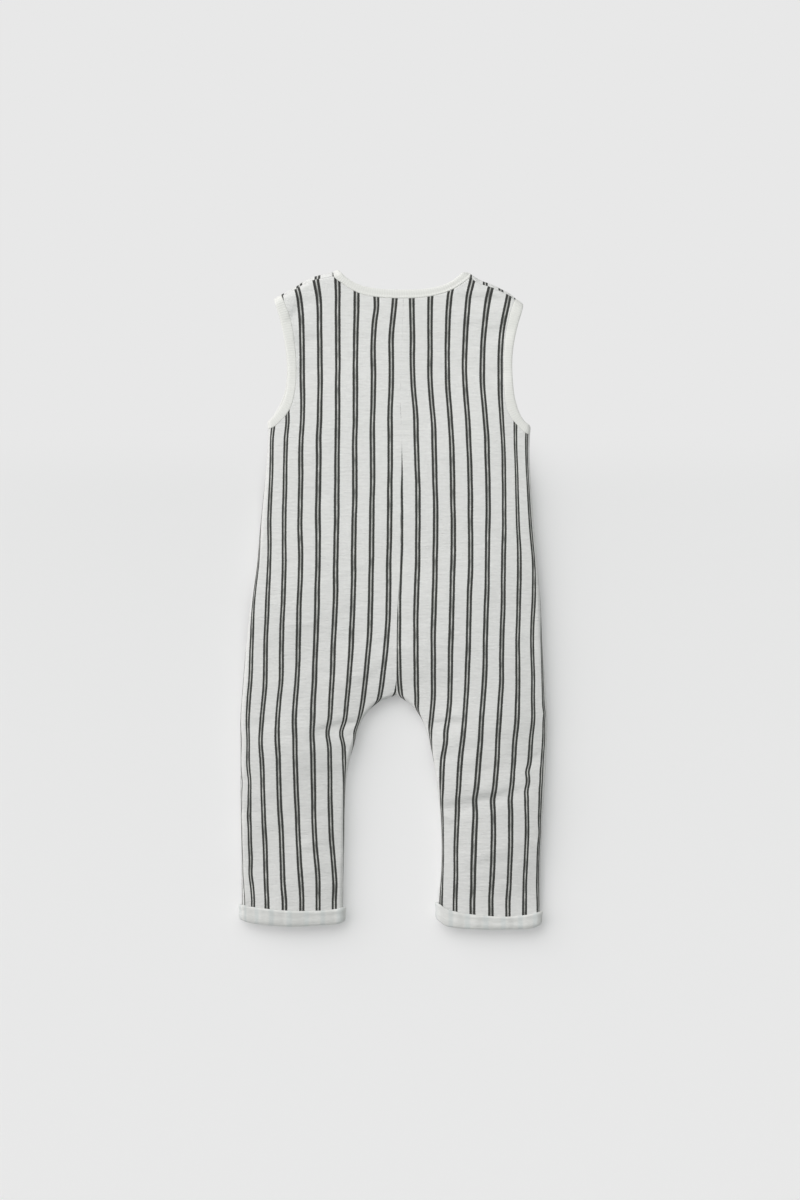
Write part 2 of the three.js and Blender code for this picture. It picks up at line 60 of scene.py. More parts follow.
# How far in from an outline the back and the front rise, and how far in their tight bend reaches,
# and the share of the rise that the bend takes
ROLLS = {
    "side": ((50.0, 3.4), (12.0, 12.0)),
    "inseam": ((40.0, 3.0), (12.0, 12.0)),
    "shoulder": ((6.5, 6.5), (6.5, 6.5)),
}
BEND_SHARE = 0.66

# Step of an outline down the side, its points on a shoulder's fold and up each inseam, and how near
# to it a point counts as on it. Distances to it are worked out for about CHUNK points at a time
OUTLINE_STEP = 2.0
FOLD_POINTS = 25
INSEAM_POINTS = 211
ON_OUTLINE = 0.12
CHUNK = 4000

# Cloth down the wall of a fold, the power by which the stripes on it follow its tilt, and the
# heights between which this fades away at the underarm
WALL = 5.5
WALL_POWER = 1.5
WALL_FADES = (140.0, 160.0)

# The front's lip over the shoulder: width at both ends, rows, and how near its ends the bands draw it
LIP_AT_ARMHOLE = 1.5
LIP_AT_NECK = 4.4
LIP_ROWS = 6
LIP_PULL = 6

# At the hems the front lies this much above the floor and the back as much lower, which makes room
# for the turned-up cloth and fades away between these heights. The leg ends short of the hem's edge
HEM_FOLD = 2.2
HEM_LIFT = {"front": (-266.0, -254.0), "back": (-268.0, -196.0)}
HEM_ROOM = 2.4

# Heights of the crotch, of where rows no longer follow the hem, and of where they start to slant and
# end. As many rows follow the hem as HEM_REACH has row steps
CROTCH_Y = -84.0
HEM_START = -255.0
HEM_REACH = 30.0
SLANT_FROM = 90.0
UNDERARM = 147.0

# Fineness of a layer's grid: points in each rounded side, points between, row step and yoke rows.
# The rounded sides take ROUNDED_SHARE of the width each. The hems' grid has no rows of its own
GRIDS = {"back": (16, 58, 1.5, 95), "front": (10, 30, 3.0, 50)}
HEM_GRID = (16, 50)
ROUNDED_SHARE = 0.2
SHOULDER_POINTS = 0.35

# Gap between rib and jersey, how quickly an armhole's curve fades inwards, what a band and a hem
# measure across, and the sections along the back and the front part of each band
BAND_GAP = 0.08
ARMHOLE_REACH = 4
BAND_WIDTH = 8.0
HEM_DEPTH = 13.0
ARMHOLE_STATIONS = (170, 120)
NECK_STATIONS = (260, 200)

# y and the top of the back layer
LOFT = np.array([
    (-290, 14.4), (-258, 14.2), (-215, 15.0), (-160, 17.0), (-110, 18.4), (-40, 19.0), (60, 18.4),
    (150, 16.0), (225, 12.6), (291, 11.4),
])

# y and the outline at the left and right side
SIDES = np.array([
    (-294, -133, 129), (-247, -133, 129.5), (-212, -133.5, 130.5), (-176, -134, 132.5),
    (-141, -134, 134.5), (-106, -134, 135.5), (-70, -131.5, 133.5), (-35, -128.5, 131),
    (0, -124.5, 129.5), (35, -119.5, 126.5), (70, -116, 123.5), (105, -112.5, 121), (130, -110.5, 120),
])

# y and the inside of the left and right leg
INSEAMS = np.array([
    (-294, -44, 39.5), (-266, -44, 39.5), (-240, -43.5, 42), (-215, -43, 42.5), (-185, -42.5, 41),
    (-158, -41, 38), (-141, -38, 35.5), (-127, -34, 32.5), (-115, -30.5, 29), (-105, -26.5, 25),
    (-98, -21.5, 20.5), (-92, -15, 15), (-88, -8.5, 9.5), (-84, 3, 3),
])

# y and x of the centre seams
CENTRE = {
    "back": np.array([
        (-84, 3.0), (-36, 3.3), (-14, 3.7), (0, 4.4), (13, 5.3), (26, 6.2), (88, 6.5), (114, 7.4),
        (149, 7.6), (171, 6.4), (205, 7.4), (264, 9.5),
    ]),
    "front": np.array([(-84, 3), (-18, 3.5), (0, 4), (35, 4.5), (150, 5.5), (232, 6), (264, 6)]),
}

# Way across a leg from side to inseam, top and bottom of the left and of the right turned-up hem
HEMS = np.array([
    (0.00, -269.0, -282.3, -275.0, -286.5),
    (0.10, -271.0, -284.8, -277.5, -289.2),
    (0.30, -273.0, -286.5, -279.5, -289.8),
    (0.50, -274.3, -287.4, -279.0, -290.0),
    (0.75, -274.2, -286.3, -276.5, -289.3),
    (0.92, -273.0, -285.6, -272.5, -287.0),
    (1.00, -271.5, -284.0, -267.0, -282.0),
])

# Sections across the rib bands: the sewn edge's x and y, then the open edge's
NECK_BACK = np.array([
    (-52.8, 288.1, -48.2, 290.1), (-51.6, 282.8, -45.5, 287.2), (-45.3, 278.0, -41.4, 283.2),
    (-37.8, 272.9, -34.3, 278.6), (-27.3, 268.0, -24.6, 275.1), (-11.4, 265.2, -10.6, 272.9),
    (9.5, 264.4, 9.5, 272.3), (27.3, 265.3, 26.4, 272.9), (44.0, 268.8, 41.4, 275.5),
    (55.4, 273.8, 51.0, 279.5), (63.8, 279.5, 58.1, 284.8), (67.6, 282.9, 61.6, 287.4),
    (68.6, 286.1, 64.5, 288.1),
])
NECK_FRONT = np.array([
    (-52.8, 288.1, -48.2, 290.1), (-51.5, 277.0, -44.0, 280.0), (-47.0, 262.0, -39.0, 266.0),
    (-36.0, 246.0, -29.5, 252.0), (-17.0, 235.5, -14.0, 243.5), (6.0, 232.0, 6.0, 240.0),
    (33.0, 235.5, 30.0, 243.5), (52.0, 246.0, 45.5, 252.0), (63.0, 262.0, 55.0, 266.0),
    (66.9, 276.0, 59.7, 279.0), (68.6, 286.1, 64.5, 288.1),
])
NECK_CENTRE = {"back": 6, "front": 5}

# The same from shoulder to underarm, and how far the front armhole lies outside the back one
ARMHOLES = {
    "left": np.array([
        (-98.4, 268.1, -105.0, 264.1, 0), (-94.3, 258.5, -102.3, 255.5, 0),
        (-90.0, 247.0, -99.3, 245.0, 0), (-87.0, 230.0, -95.6, 228.5, 0.4),
        (-85.1, 212.0, -93.0, 212.0, 1.0), (-84.9, 195.0, -92.6, 194.5, 1.2),
        (-86.3, 181.5, -94.0, 182.5, 1.6), (-89.0, 170.5, -96.4, 174.5, 2.0),
        (-94.0, 161.5, -100.5, 166.8, 2.0), (-99.6, 155.6, -104.5, 161.5, 1.4),
        (-104.5, 151.4, -107.8, 158.3, 0.6), (-109.8, 149.4, -110.4, 156.8, 0),
    ]),
    "right": np.array([
        (107.8, 264.7, 114.9, 259.6, 0), (104.3, 256.4, 112.9, 251.4, 0.6),
        (101.6, 246.5, 110.6, 244.0, 1.5), (99.2, 235.0, 107.9, 233.5, 2.2),
        (97.8, 222.0, 105.7, 221.0, 2.5), (97.2, 208.0, 104.7, 208.0, 2.5),
        (97.3, 193.0, 105.2, 192.5, 2.5), (98.1, 178.5, 106.7, 178.8, 2.2),
        (100.0, 167.0, 108.9, 170.0, 1.6), (104.2, 158.8, 111.5, 163.0, 1.0),
        (110.5, 151.2, 115.3, 157.0, 0.5), (115.5, 146.6, 118.5, 154.2, 0),
        (120.4, 144.4, 120.9, 152.6, 0),
    ]),
}

# x and y of the shoulder fold between armhole and neck
SHOULDERS = {
    "left": np.array([(-90.6, 272.3), (-84.9, 275.5), (-78.3, 279.9), (-71.3, 283.3), (-62.5, 285.8)]),
    "right": np.array([(76.6, 280.9), (85.4, 277.7), (94.2, 273.5), (103, 268.8)]),
}

# Creases of the back layer: x, y, length, degrees, width and depth
CREASES = np.array([
    (-49, -111.5, 44, 14, 4.6, 2.2), (-36, -117, 15, 26, 2.5, 0.7), (-92, -119, 16, 0, 3.5, 0.5),
    (-78, -124, 20, -20, 3.5, 0.6), (46.5, -108.5, 34, 3, 4.5, 1.7), (77, -176, 74, 12.5, 5.2, 1.9),
    (49, -197, 18, -20, 3.5, 0.8), (122, -36, 20, 5, 4.0, 0.8), (124, -139, 16, 35, 3.5, 0.9),
    (-115, -108, 24, 10, 4.0, 0.7), (-60, -152, 50, 8, 5.0, 0.5), (90, -148, 52, 6, 5.0, 0.6),
    (-95, -205, 44, -5, 5.0, 0.5), (-60, -243, 46, 6, 5.0, 0.6), (88, -232, 44, 4, 5.0, 0.6),
    (66, -130, 40, 8, 5.0, 0.5), (-86, 252, 20, 62, 4.5, 1.5), (-73, 261, 22, 0, 3.5, 0.6),
    (-74, 228, 22, 0, 5.0, 1.1), (-73, 202, 20, 5, 5.0, 0.9), (78, 264, 46, -3, 4.0, 1.4),
    (90, 236, 26, 2, 5.0, 1.4), (72, 241, 20, 3, 4.0, 0.6), (90, 199, 22, 0, 5.0, 1.0),
    (60, 205, 40, 4, 5.0, 0.4), (-30, 180, 60, -3, 6.0, 0.3), (-18, -66, 34, 40, 4.0, 0.7),
    (22, -62, 26, -50, 4.0, 0.6),
])

# How much wider or narrower a crease is on its upper and on its lower side
CREASE_ABOVE = 0.8
CREASE_BELOW = 1.7

# Small wrinkles scattered over the back layer: how many, seed, and the ranges that they are drawn from
WRINKLES = 260
WRINKLE_SEED = 7
WRINKLE_LENGTH = (12.0, 46.0)
WRINKLE_TILT = 16.0
WRINKLE_WIDTH = (1.6, 6.0)
WRINKLE_DEPTH = (0.06, 0.28)

# The legs are more crumpled than the body: how much so, above and below these heights
CRUMPLED = (2.3, 0.9)
CRUMPLED_WITHIN = (-150.0, 90.0)

# Soft unevenness of the whole back layer: wave length, direction in degrees, start and height
SWELLS = np.array([
    (190, 20, 0.4, 0.5), (131, 76, 2.1, 0.4), (97, 132, 4.0, 0.25), (61, 98, 1.2, 0.16),
    (43, 63, 5.3, 0.08),
])

# Where the cloth turns under at a fold its stripes kink: x, y, reach along x and y, and shift along x
KINKS = np.array([
    (-44, -117, 20, 8.5, -3.0), (118, -151, 9, 5, -1.3), (118, -168, 9, 5, -0.9), (82, -176, 30, 8, -1.1),
    (-125, -241, 6, 9, -1.0), (-28, -246, 12, 9, 1.2), (134, -100, 5, 5, 1.0), (40, -116, 10, 7, -1.0),
    (-130, -160, 6, 9, 1.2), (-130, -190, 6, 8, -0.9), (130, -205, 6, 8, 1.0), (-16, 256, 8, 9, 1.0),
])

# How the stripes wander: wave length along y, turn from stripe to stripe, start, and size in pitches
WANDERS = np.array([(71.0, 1.9, 0.4, 0.009), (33.0, 2.7, 2.0, 0.004)])

# Stripes from the last numbered one to where the cloth turns under
TURNED_COUNT = 1.25

# Heights from which the hems and the lip take their stripes, and how far the hems' are shifted
HEM_STRIPES_Y = -262.0
LIP_STRIPES_Y = 288.0
HEM_STRIPE_SHIFT = 4.4

# Where the stripes of each half stand: y, then x of the stripes with these numbers from the centre
STRIPE_NUMBERS = np.array([1, 4, 6, 8, 9])
BACK_STRIPES = {
    "left": np.array([
        (-264.5, -9, -51.5, -80, -110.5, -123), (-247, -8, -51, -81, -111.5, -124),
        (-211.5, -10, -54, -83, -112.5, -125.5), (-176.5, -12, -55, -84.5, -114, -126),
        (-141.5, -19, -55.5, -85.5, -115, -127), (-123.5, -19, -55.5, -86, -116, -127),
        (-106, -17, -55, -86.5, -115, -127.5), (-88.5, -12.5, -54.5, -85.5, -113.5, -126.5),
        (-71, -9.5, -53.5, -84, -112, -125), (-35.5, -5.5, -52, -83, -111.5, -124),
        (-0.5, -4, -50.5, -82, -110, -122.5), (34.5, -3.5, -50, -81, -108.5, -119),
        (70, -3, -49.5, -81.5, -108.5, -119), (105, -2.5, -49, -81, -107, -117.5),
        (140.5, -2.5, -49, -80.5, -106.5, -117.5), (158, -2.5, -48.5, -79.5, -105, -117),
        (193, -1.5, -48.5, -79.5, -109.5, -123), (228.5, -1.5, -48.5, -80, -111.5, -127),
        (263.5, 1.5, -48.5, -82, -115, -131), (281, 2, -49, -86.5, -119, -135),
    ]),
    "right": np.array([
        (-264.5, 19, 54.5, 86, 115.5, 128), (-247, 19, 55, 87, 116, 127.5),
        (-211.5, 19.5, 55.5, 88, 117.5, 128), (-176.5, 13, 57, 88.5, 117.5, 129.5),
        (-141.5, 13, 59, 91, 120, 131), (-123.5, 18, 61, 92, 121, 132.5),
        (-106, 19.5, 62.5, 93, 123, 132.5), (-88.5, 21, 64, 94, 123, 132),
        (-71, 20.5, 65, 95, 123, 131.5), (-35.5, 20, 66, 95.5, 122, 132),
        (-0.5, 20.5, 67, 96.5, 123.5, 134), (34.5, 21.5, 68, 97, 123.5, 133),
        (70, 22, 68, 97.5, 120.5, 130), (105, 21.5, 67.5, 97.5, 118.5, 128),
        (140.5, 20.5, 66.5, 96.5, 117.5, 127), (158, 20, 65.5, 95.5, 119, 130),
        (193, 17.5, 63, 94, 123, 136), (228.5, 17, 63.5, 95, 126, 141),
        (263.5, 16.5, 66, 101, 132, 148), (281, 16.5, 70, 105, 139, 155),
    ]),
}

# The front's stripes: y, x of the stripe with number 0, and the pitch
FRONT_STRIPES = {
    "left": np.array([(150, 13.0, 15.5), (225, 13.0, 15.5), (262, 13.6, 16.0), (290, 13.6, 16.0)]),
    "right": np.array([(150, 5.0, 15.5), (225, 5.0, 15.5), (262, 12.1, 13.8), (290, 12.1, 13.8)]),
}

# The side light's way round, height and spread in degrees, and the top light's place and size in
# metres. Each light has a faint tint. Their levels hold on the chest, CHEST_Y metres up the garment
SIDE_WAY = 150.0
SIDE_HEIGHT = 34.0
SIDE_SPREAD = 76.0
SIDE_TINT = (1.033, 1.0, 1.014)
TOP_LIGHT = (0.0, 0.38, 0.78)
TOP_SIZE = 0.9
TOP_TINT = (0.975, 1.0, 0.98)
FILL_TINT = (0.965, 1.0, 0.985)
CHEST_Y = 0.2

# The floor's size in metres. It glows with the least share of its look up to GLOW_FROM and with all
# of it from GLOW_FULL on, in metres. White paint on it sends back this share of the light's level
FLOOR_SIZE = 4.0
GLOW_FROM = 0.085
GLOW_FULL = 0.150
GLOW_LEAST = 0.25
FLOOR_GIVES_BACK = 0.98

# The picture's pixels, the pixel over the origin, and the size of a pixel SCALE_HEIGHT above the
# floor. The lens and the sensor are in millimetres too
PICTURE = (800, 1200)
ORIGIN_PIXEL = (393.0, 599.4)
PIXEL = 0.88
SCALE_HEIGHT = 6.0
LENS = 100.0
SENSOR = 36.0

# Shares of a half's width where it changes from shoulder to neckline, and where each way along the
# neckline then lies
SHOULDER_SHARE = 0.39
NECK_WAYS = {
    "back": np.array([
        (0.39, 0), (0.55, 0.12), (0.70, 0.28), (0.83, 0.46), (0.92, 0.66), (0.98, 0.85), (1, 1),
    ]),
    "front": np.array([
        (0.39, 0), (0.46, 0.07), (0.51, 0.17), (0.58, 0.29), (0.67, 0.43), (0.78, 0.6), (0.90, 0.79), (1, 1),
    ]),
}


def lerp(a, b, t):
    """From a at t = 0 to b at t = 1, in a straight line."""
    return a + (b - a) * t


def smooth_step(value, low, high):
    """0 below low, 1 above high, and 3t^2 - 2t^3 between them."""
    t = np.clip((value - low) / (high - low), 0, 1)
    return t * t * (3 - 2 * t)


def cubic(t, span, start, end, first_slope, last_slope):
    """From start at t = 0 to end at t = 1, with these slopes over a span there, as a Hermite curve."""
    rest = 1 - t
    held = start * (1 + 2 * t) * rest**2 + end * (3 - 2 * t) * t**2
    return held + span * t * rest * (first_slope * rest - last_slope * t)


def through(keys, values, at):
    """A smooth curve through values at rising keys: a cubic from key to key, whose slope at each key
    is that of the line between its neighbours. It stays level beyond both ends."""
    last = len(keys) - 1
    before = np.maximum(np.arange(last + 1) - 1, 0)
    after = np.minimum(np.arange(last + 1) + 1, last)
    slopes = (values[after] - values[before]) / (keys[after] - keys[before])
    i = np.clip(np.searchsorted(keys, at) - 1, 0, last - 1)
    span = keys[i + 1] - keys[i]
    t = np.clip((at - keys[i]) / span, 0, 1)
    return cubic(t, span, values[i], values[i + 1], slopes[i], slopes[i + 1])


class Band:
    """Sections of a rib band as a smooth function of the way along it and the way across it."""

    def __init__(self, rows):
        self.rows = rows
        steps = np.hypot(*np.diff(rows[:, :2], axis=0).T)
        reach = np.concatenate([[0], np.cumsum(steps)])
        self.length = reach[-1]
        self.marks = reach / reach[-1]

    def edges(self, along):
        """x and y of the sewn edge, then of the open edge, each a curve through its points."""
        return [through(self.marks, column, along) for column in self.rows.T[:4]]

    def at(self, along, across):
        """The sewn edge at across = 0, the open edge at 1, and straight lines between them."""
        sewn_x, sewn_y, open_x, open_y = self.edges(along)
        return lerp(sewn_x, open_x, across), lerp(sewn_y, open_y, across)

    def width(self, along):
        """Distance between the two edges."""
        sewn_x, sewn_y, open_x, open_y = self.edges(along)
        return np.hypot(open_x - sewn_x, open_y - sewn_y)


NECK = {"back": Band(NECK_BACK), "front": Band(NECK_FRONT)}


class Half:
    """Everything that differs between the left and the right half."""

    def __init__(self, name, side):
        self.name = name
        self.side = side
        rows = ARMHOLES[name]
        front = rows.copy()
        front[:, [0, 2]] -= rows[:, 4:5]
        self.armhole = {"back": Band(rows), "front": Band(front)}
        self.column = 1 if side < 0 else 2
        self.underarm = self.armhole["back"].at(1.0, 0.0)
        self.tip = self.armhole["back"].at(0.0, 0.0)
        self.neck_start = 0.0 if side < 0 else 1.0
        self.neck_point = NECK["back"].at(self.neck_start, 0.0)
        lowest_first = [*SIDES[:, [0, self.column]], (self.underarm[1], self.underarm[0])]
        self.side_rows = np.array(lowest_first)
        fold = np.array([self.tip, *SHOULDERS[name], self.neck_point])
        self.fold = fold[np.argsort(fold[:, 0])]

    def side_x(self, y):
        """The outline at the side."""
        return through(self.side_rows[:, 0], self.side_rows[:, 1], y)

    def inseam_x(self, y):
        """The outline inside the leg."""
        return through(INSEAMS[:, 0], INSEAMS[:, self.column], y)

    def shoulder_y(self, x):
        """The fold at the shoulder."""
        return through(self.fold[:, 0], self.fold[:, 1], x)

    def hem(self, share, edge):
        """The turned-up hem's top (edge 0) or bottom (edge 1) at a share of the leg's width."""
        return through(HEMS[:, 0], HEMS[:, 2 * self.column - 1 + edge], share)

    def across(self, layer, y, share):
        """A share of the way from the side to the centre seam, or to the inseam below the crotch."""
        seam = through(CENTRE[layer][:, 0], CENTRE[layer][:, 1], y)
        return lerp(self.side_x(y), np.where(y >= CROTCH_Y, seam, self.inseam_x(y)), share)


HALVES = (Half("left", -1), Half("right", 1))


def outlines():
    """The lines where the layers turn into each other, as segments: start, run and both rolls."""
    left, right = HALVES
    starts, runs, rolls = [], [], []

    def add(points, roll):
        points = np.asarray(points)
        run = np.diff(points, axis=0)
        kept = (run**2).sum(axis=1) > 0
        starts.append(points[:-1][kept])
        runs.append(run[kept])
        rolls.append(np.tile(ROLLS[roll], (kept.sum(), 1, 1)))

    lowest = SIDES[0, 0]
    for half in HALVES:
        y = np.arange(half.underarm[1], lowest, -OUTLINE_STEP)
        down = np.vstack([half.armhole["back"].at(1.0, 1.0), np.column_stack([half.side_x(y), y])])
        x = np.linspace(half.neck_point[0], half.tip[0], FOLD_POINTS)
        fold = np.vstack([
            NECK["back"].at(half.neck_start, 1.0),
            np.column_stack([x, half.shoulder_y(x)]),
            half.armhole["back"].at(0.0, 1.0),
        ])
        add(down if half.side < 0 else down[::-1], "side")
        add(fold if half.side < 0 else fold[::-1], "shoulder")
    y = np.linspace(lowest, CROTCH_Y, INSEAM_POINTS)
    up = np.column_stack([left.inseam_x(y), y])
    back_down = np.column_stack([right.inseam_x(y), y])[::-1]
    add(np.vstack([up, back_down]), "inseam")
    return np.vstack(starts), np.vstack(runs), np.vstack(rolls)


OUTLINE_STARTS, OUTLINE_RUNS, OUTLINE_ROLLS = outlines()


def nearest_outline(x, y, layer):
    """For each point, the share of the nearest outline's roll that is passed, the way out to that
    outline, its roll and its bend. The nearest is the one with the least share, distance / roll."""
    points = np.column_stack([np.ravel(x), np.ravel(y)])
    squared = (OUTLINE_RUNS**2).sum(axis=1)
    rolls, bends = OUTLINE_ROLLS[:, LAYERS.index(layer)].T
    share, roll, bend = np.empty((3, len(points)))
    out = np.empty_like(points)
    for chunk in np.array_split(np.arange(len(points)), max(1, len(points) // CHUNK)):
        off = points[chunk, None] - OUTLINE_STARTS
        t = np.clip((off * OUTLINE_RUNS).sum(axis=2) / squared, 0, 1)
        away = t[..., None] * OUTLINE_RUNS - off
        distance = np.hypot(away[..., 0], away[..., 1])
        shares = np.maximum(distance - ON_OUTLINE, 0) / rolls
        best = shares.argmin(axis=1)
        rows = np.arange(len(chunk))
        near = distance[rows, best][:, None]
        run = OUTLINE_RUNS[best]
        right_of_run = np.column_stack([run[:, 1], -run[:, 0]]) / np.sqrt(squared[best])[:, None]
        share[chunk] = shares[rows, best]
        out[chunk] = np.where(near < ON_OUTLINE, right_of_run, away[rows, best] / np.maximum(near, 1e-9))
        roll[chunk] = rolls[best]
        bend[chunk] = bends[best]
    shape = np.shape(x)
    return share.reshape(shape), out.reshape(*shape, 2), roll.reshape(shape), bend.reshape(shape)


def bells(x, y, rows, above=1.0, below=1.0):
    """Sum of long troughs, each a bell curve across its line, which is wider on the upper side than
    on the lower one, and fades along it as the fourth power of the way to its ends."""
    height = np.zeros(np.shape(x))
    for cx, cy, length, degrees, width, depth in rows:
        angle = math.radians(degrees)
        along = (x - cx) * math.cos(angle) + (y - cy) * math.sin(angle)
        across = (y - cy) * math.cos(angle) - (x - cx) * math.sin(angle)
        across = across / (width * np.where(across > 0, above, below))
        height -= depth * np.exp(-(across**2) - (2 * along / length) ** 4)
    return height


def wrinkle_rows():
    """The scattered small wrinkles, drawn from their ranges with a fixed seed."""
    draw = np.random.default_rng(WRINKLE_SEED)
    low, high = (SIDES[0, 1], INSEAMS[0, 0]), (SIDES[-1, 2], LOFT[-1, 0])
    columns = [
        draw.uniform(low[0], high[0], WRINKLES),
        draw.uniform(low[1], high[1], WRINKLES),
        draw.uniform(*WRINKLE_LENGTH, WRINKLES),
        draw.normal(0, WRINKLE_TILT, WRINKLES),
        draw.uniform(*WRINKLE_WIDTH, WRINKLES),
        draw.uniform(*WRINKLE_DEPTH, WRINKLES) * draw.choice([-1, 1], WRINKLES),
    ]
    return np.column_stack(columns)


def creases(x, y):
    """Main creases and small wrinkles, and the swells, plain sine waves over the whole cloth."""
    soft = bells(x, y, wrinkle_rows())
    for wave, degrees, start, size in SWELLS:
        angle = math.radians(degrees)
        way = x * math.cos(angle) + y * math.sin(angle)
        soft += size * np.sin(2 * np.pi * way / wave + start)
    crumpled = lerp(*CRUMPLED, smooth_step(y, *CRUMPLED_WITHIN))
    return soft * crumpled + bells(x, y, CREASES, CREASE_ABOVE, CREASE_BELOW)


def on_layer(x, y, layer):
    """Points of a layer and the way out of its surface. From the outline inwards the section rises by
    BEND_SHARE along a quarter of an ellipse, the bend, and by the rest along a parabola, the roll."""
    base = HEM_FOLD * (1 - smooth_step(y, *HEM_LIFT["front"]))
    top = through(LOFT[:, 0], LOFT[:, 1], y) - HEM_FOLD * (1 - smooth_step(y, *HEM_LIFT["back"]))
    turn = lerp(base, top, TURN_SHARE)
    share, out, roll, bend = nearest_outline(x, y, layer)
    left_over = 1 - np.minimum(share, 1)
    cos = 1 - np.minimum(share * roll / bend, 1)
    sin = np.sqrt(1 - cos**2)
    up = 1 if layer == "back" else -1
    rise = (top - turn if layer == "back" else turn - base) - SLIT
    relief = creases(x, y) * sin if layer == "back" else 0
    z = turn + up * (SLIT + rise * lerp(1 - left_over**2, sin, BEND_SHARE)) + relief
    slope = rise * lerp(2 * left_over * sin / roll, cos / bend, BEND_SHARE)
    normal = np.stack([out[..., 0] * slope, out[..., 1] * slope, up * sin], axis=-1)
    normal /= np.linalg.norm(normal, axis=-1, keepdims=True)
    return np.stack([x, y, z], axis=-1), normal


def lifted(points, normals, offset):
    """Points moved out of their surface, and kept on or above the floor."""
    moved = points + normals * np.asarray(offset)[..., None]
    moved[..., 2] = np.maximum(moved[..., 2], 0)
    return moved


def count_across(way, stands):
    """Stripe number at a way from the centre: a cubic from each numbered stripe to the next, whose
    slope at each is that of the line between its neighbours. Past the last one the cloth turns
    under as a parabola, which counts TURNED_COUNT to its apex."""
    last = len(STRIPE_NUMBERS) - 1
    slopes = np.empty_like(stands)
    for i in range(last + 1):
        before, after = max(i - 1, 0), min(i + 1, last)
        gap = stands[..., after] - stands[..., before]
        slopes[..., i] = (STRIPE_NUMBERS[after] - STRIPE_NUMBERS[before]) / gap
    number = STRIPE_NUMBERS[0] + (way - stands[..., 0]) * slopes[..., 0]
    for i in range(last):
        span = stands[..., i + 1] - stands[..., i]
        t = np.clip((way - stands[..., i]) / span, 0, 1)
        ends = STRIPE_NUMBERS[i], STRIPE_NUMBERS[i + 1]
        held = cubic(t, span, *ends, slopes[..., i], slopes[..., i + 1])
        number = np.where(way > stands[..., i], held, number)
    last_gap = stands[..., -1] - stands[..., -2]
    beyond = 1 - 2 * (way - stands[..., -1]) / (TURNED_COUNT * last_gap)
    turned = STRIPE_NUMBERS[-1] + TURNED_COUNT * (1 - np.sign(beyond) * np.sqrt(np.abs(beyond)))
    return np.where(beyond < 1, turned, number)


def stripe_count(x, y, half, layer):
    """Which stripe a point of the cloth lies on, counted in pitches from the centre. The front's
    stripes are evenly spaced. On the back each numbered one stands on a smooth curve over y, and
    kinks and slow waves move them all."""
    if layer == "front":
        rows = FRONT_STRIPES[half.name]
        first = through(rows[:, 0], rows[:, 1], y)
        pitch = through(rows[:, 0], rows[:, 2], y)
        return half.side * (x - first) / pitch
    for kx, ky, reach_x, reach_y, shift in KINKS:
        x = x - shift * np.exp(-(((x - kx) / reach_x) ** 2) - ((y - ky) / reach_y) ** 2)
    rows = BACK_STRIPES[half.name]
    stands = np.stack([half.side * through(rows[:, 0], column, y) for column in rows.T[1:]], axis=-1)
    number = count_across(half.side * x, stands)
    for wave, turn, start, size in WANDERS:
        number = number + size * np.sin(2 * np.pi * y / wave + turn * number + start)
    return number


def wrapped(normals, y, half):
    """Stripe count that the cloth gains down the wall of its side and inseam folds, where seen from
    above it gets nowhere. It goes with the tilt, and isn't needed above the underarm."""
    tilt = 1 - np.abs(normals[..., 2])
    sideways = normals[..., 0] / np.maximum(np.hypot(normals[..., 0], normals[..., 1]), 1e-9)
    below = 1 - smooth_step(y, *WALL_FADES)
    return half.side * sideways * tilt**WALL_POWER * below * WALL * MM / settings().stripe_pitch


def shares_across(rounded, plain):
    """Shares of a half's width: close together where the cloth rounds over at both ends, evenly
    spaced between, and one exactly where shoulder meets neck."""
    turn = ROUNDED_SHARE * (1 - np.cos(np.linspace(0, np.pi / 2, rounded)))
    shoulder = np.linspace(ROUNDED_SHARE, SHOULDER_SHARE, int(plain * SHOULDER_POINTS))
    body = np.linspace(SHOULDER_SHARE, 1 - ROUNDED_SHARE, int(plain * (1 - SHOULDER_POINTS)))
    return np.unique(np.round(np.concatenate([turn, shoulder, body, 1 - turn]), 9))


def body_grid(half, layer, shares, row_step):
    """x and y of a half from its hem up to the underarm. Rows follow the hem's curve at the bottom
    and slant with the underarm at the top; a row's points divide it at the given shares."""
    hem_end = half.hem(shares, 1) + HEM_ROOM
    t = np.linspace(0, 1, round(HEM_REACH / row_step))[:-1, None]
    hem_y = lerp(hem_end[None, :], HEM_START, t)
    levels = np.linspace(HEM_START, UNDERARM, round((UNDERARM - HEM_START) / row_step))[:, None]
    part = np.clip((levels - SLANT_FROM) / (UNDERARM - SLANT_FROM), 0, 1)
    slant = half.underarm[1] - UNDERARM
    upper_y = levels + slant * part * (1 - shares[None, :])
    y = np.vstack([hem_y, upper_y])
    return half.across(layer, y, shares[None, :]), y


def shoulder_seam(half, part, left_over):
    """Points between armhole and neck (part 0 to 1) that lie below the fold by the lip's width
    times left_over, which is 1 at the seam and 0 on the fold. Both ends are drawn to the bands."""
    lip = lerp(LIP_AT_ARMHOLE, LIP_AT_NECK, part) * left_over
    at_armhole = half.armhole["back"].at(LIP_AT_ARMHOLE * left_over / half.armhole["back"].length, 0.0)
    neck_way = abs(half.neck_start - LIP_AT_NECK * left_over / NECK["back"].length)
    at_neck = NECK["back"].at(neck_way, 0.0)
    x = lerp(at_armhole[0], at_neck[0], part)
    y = half.shoulder_y(x) - lip
    first = (1 - part) ** LIP_PULL
    last = part**LIP_PULL
    y = y + (at_armhole[1] - y[0]) * first + (at_neck[1] - y[-1]) * last
    return x, y


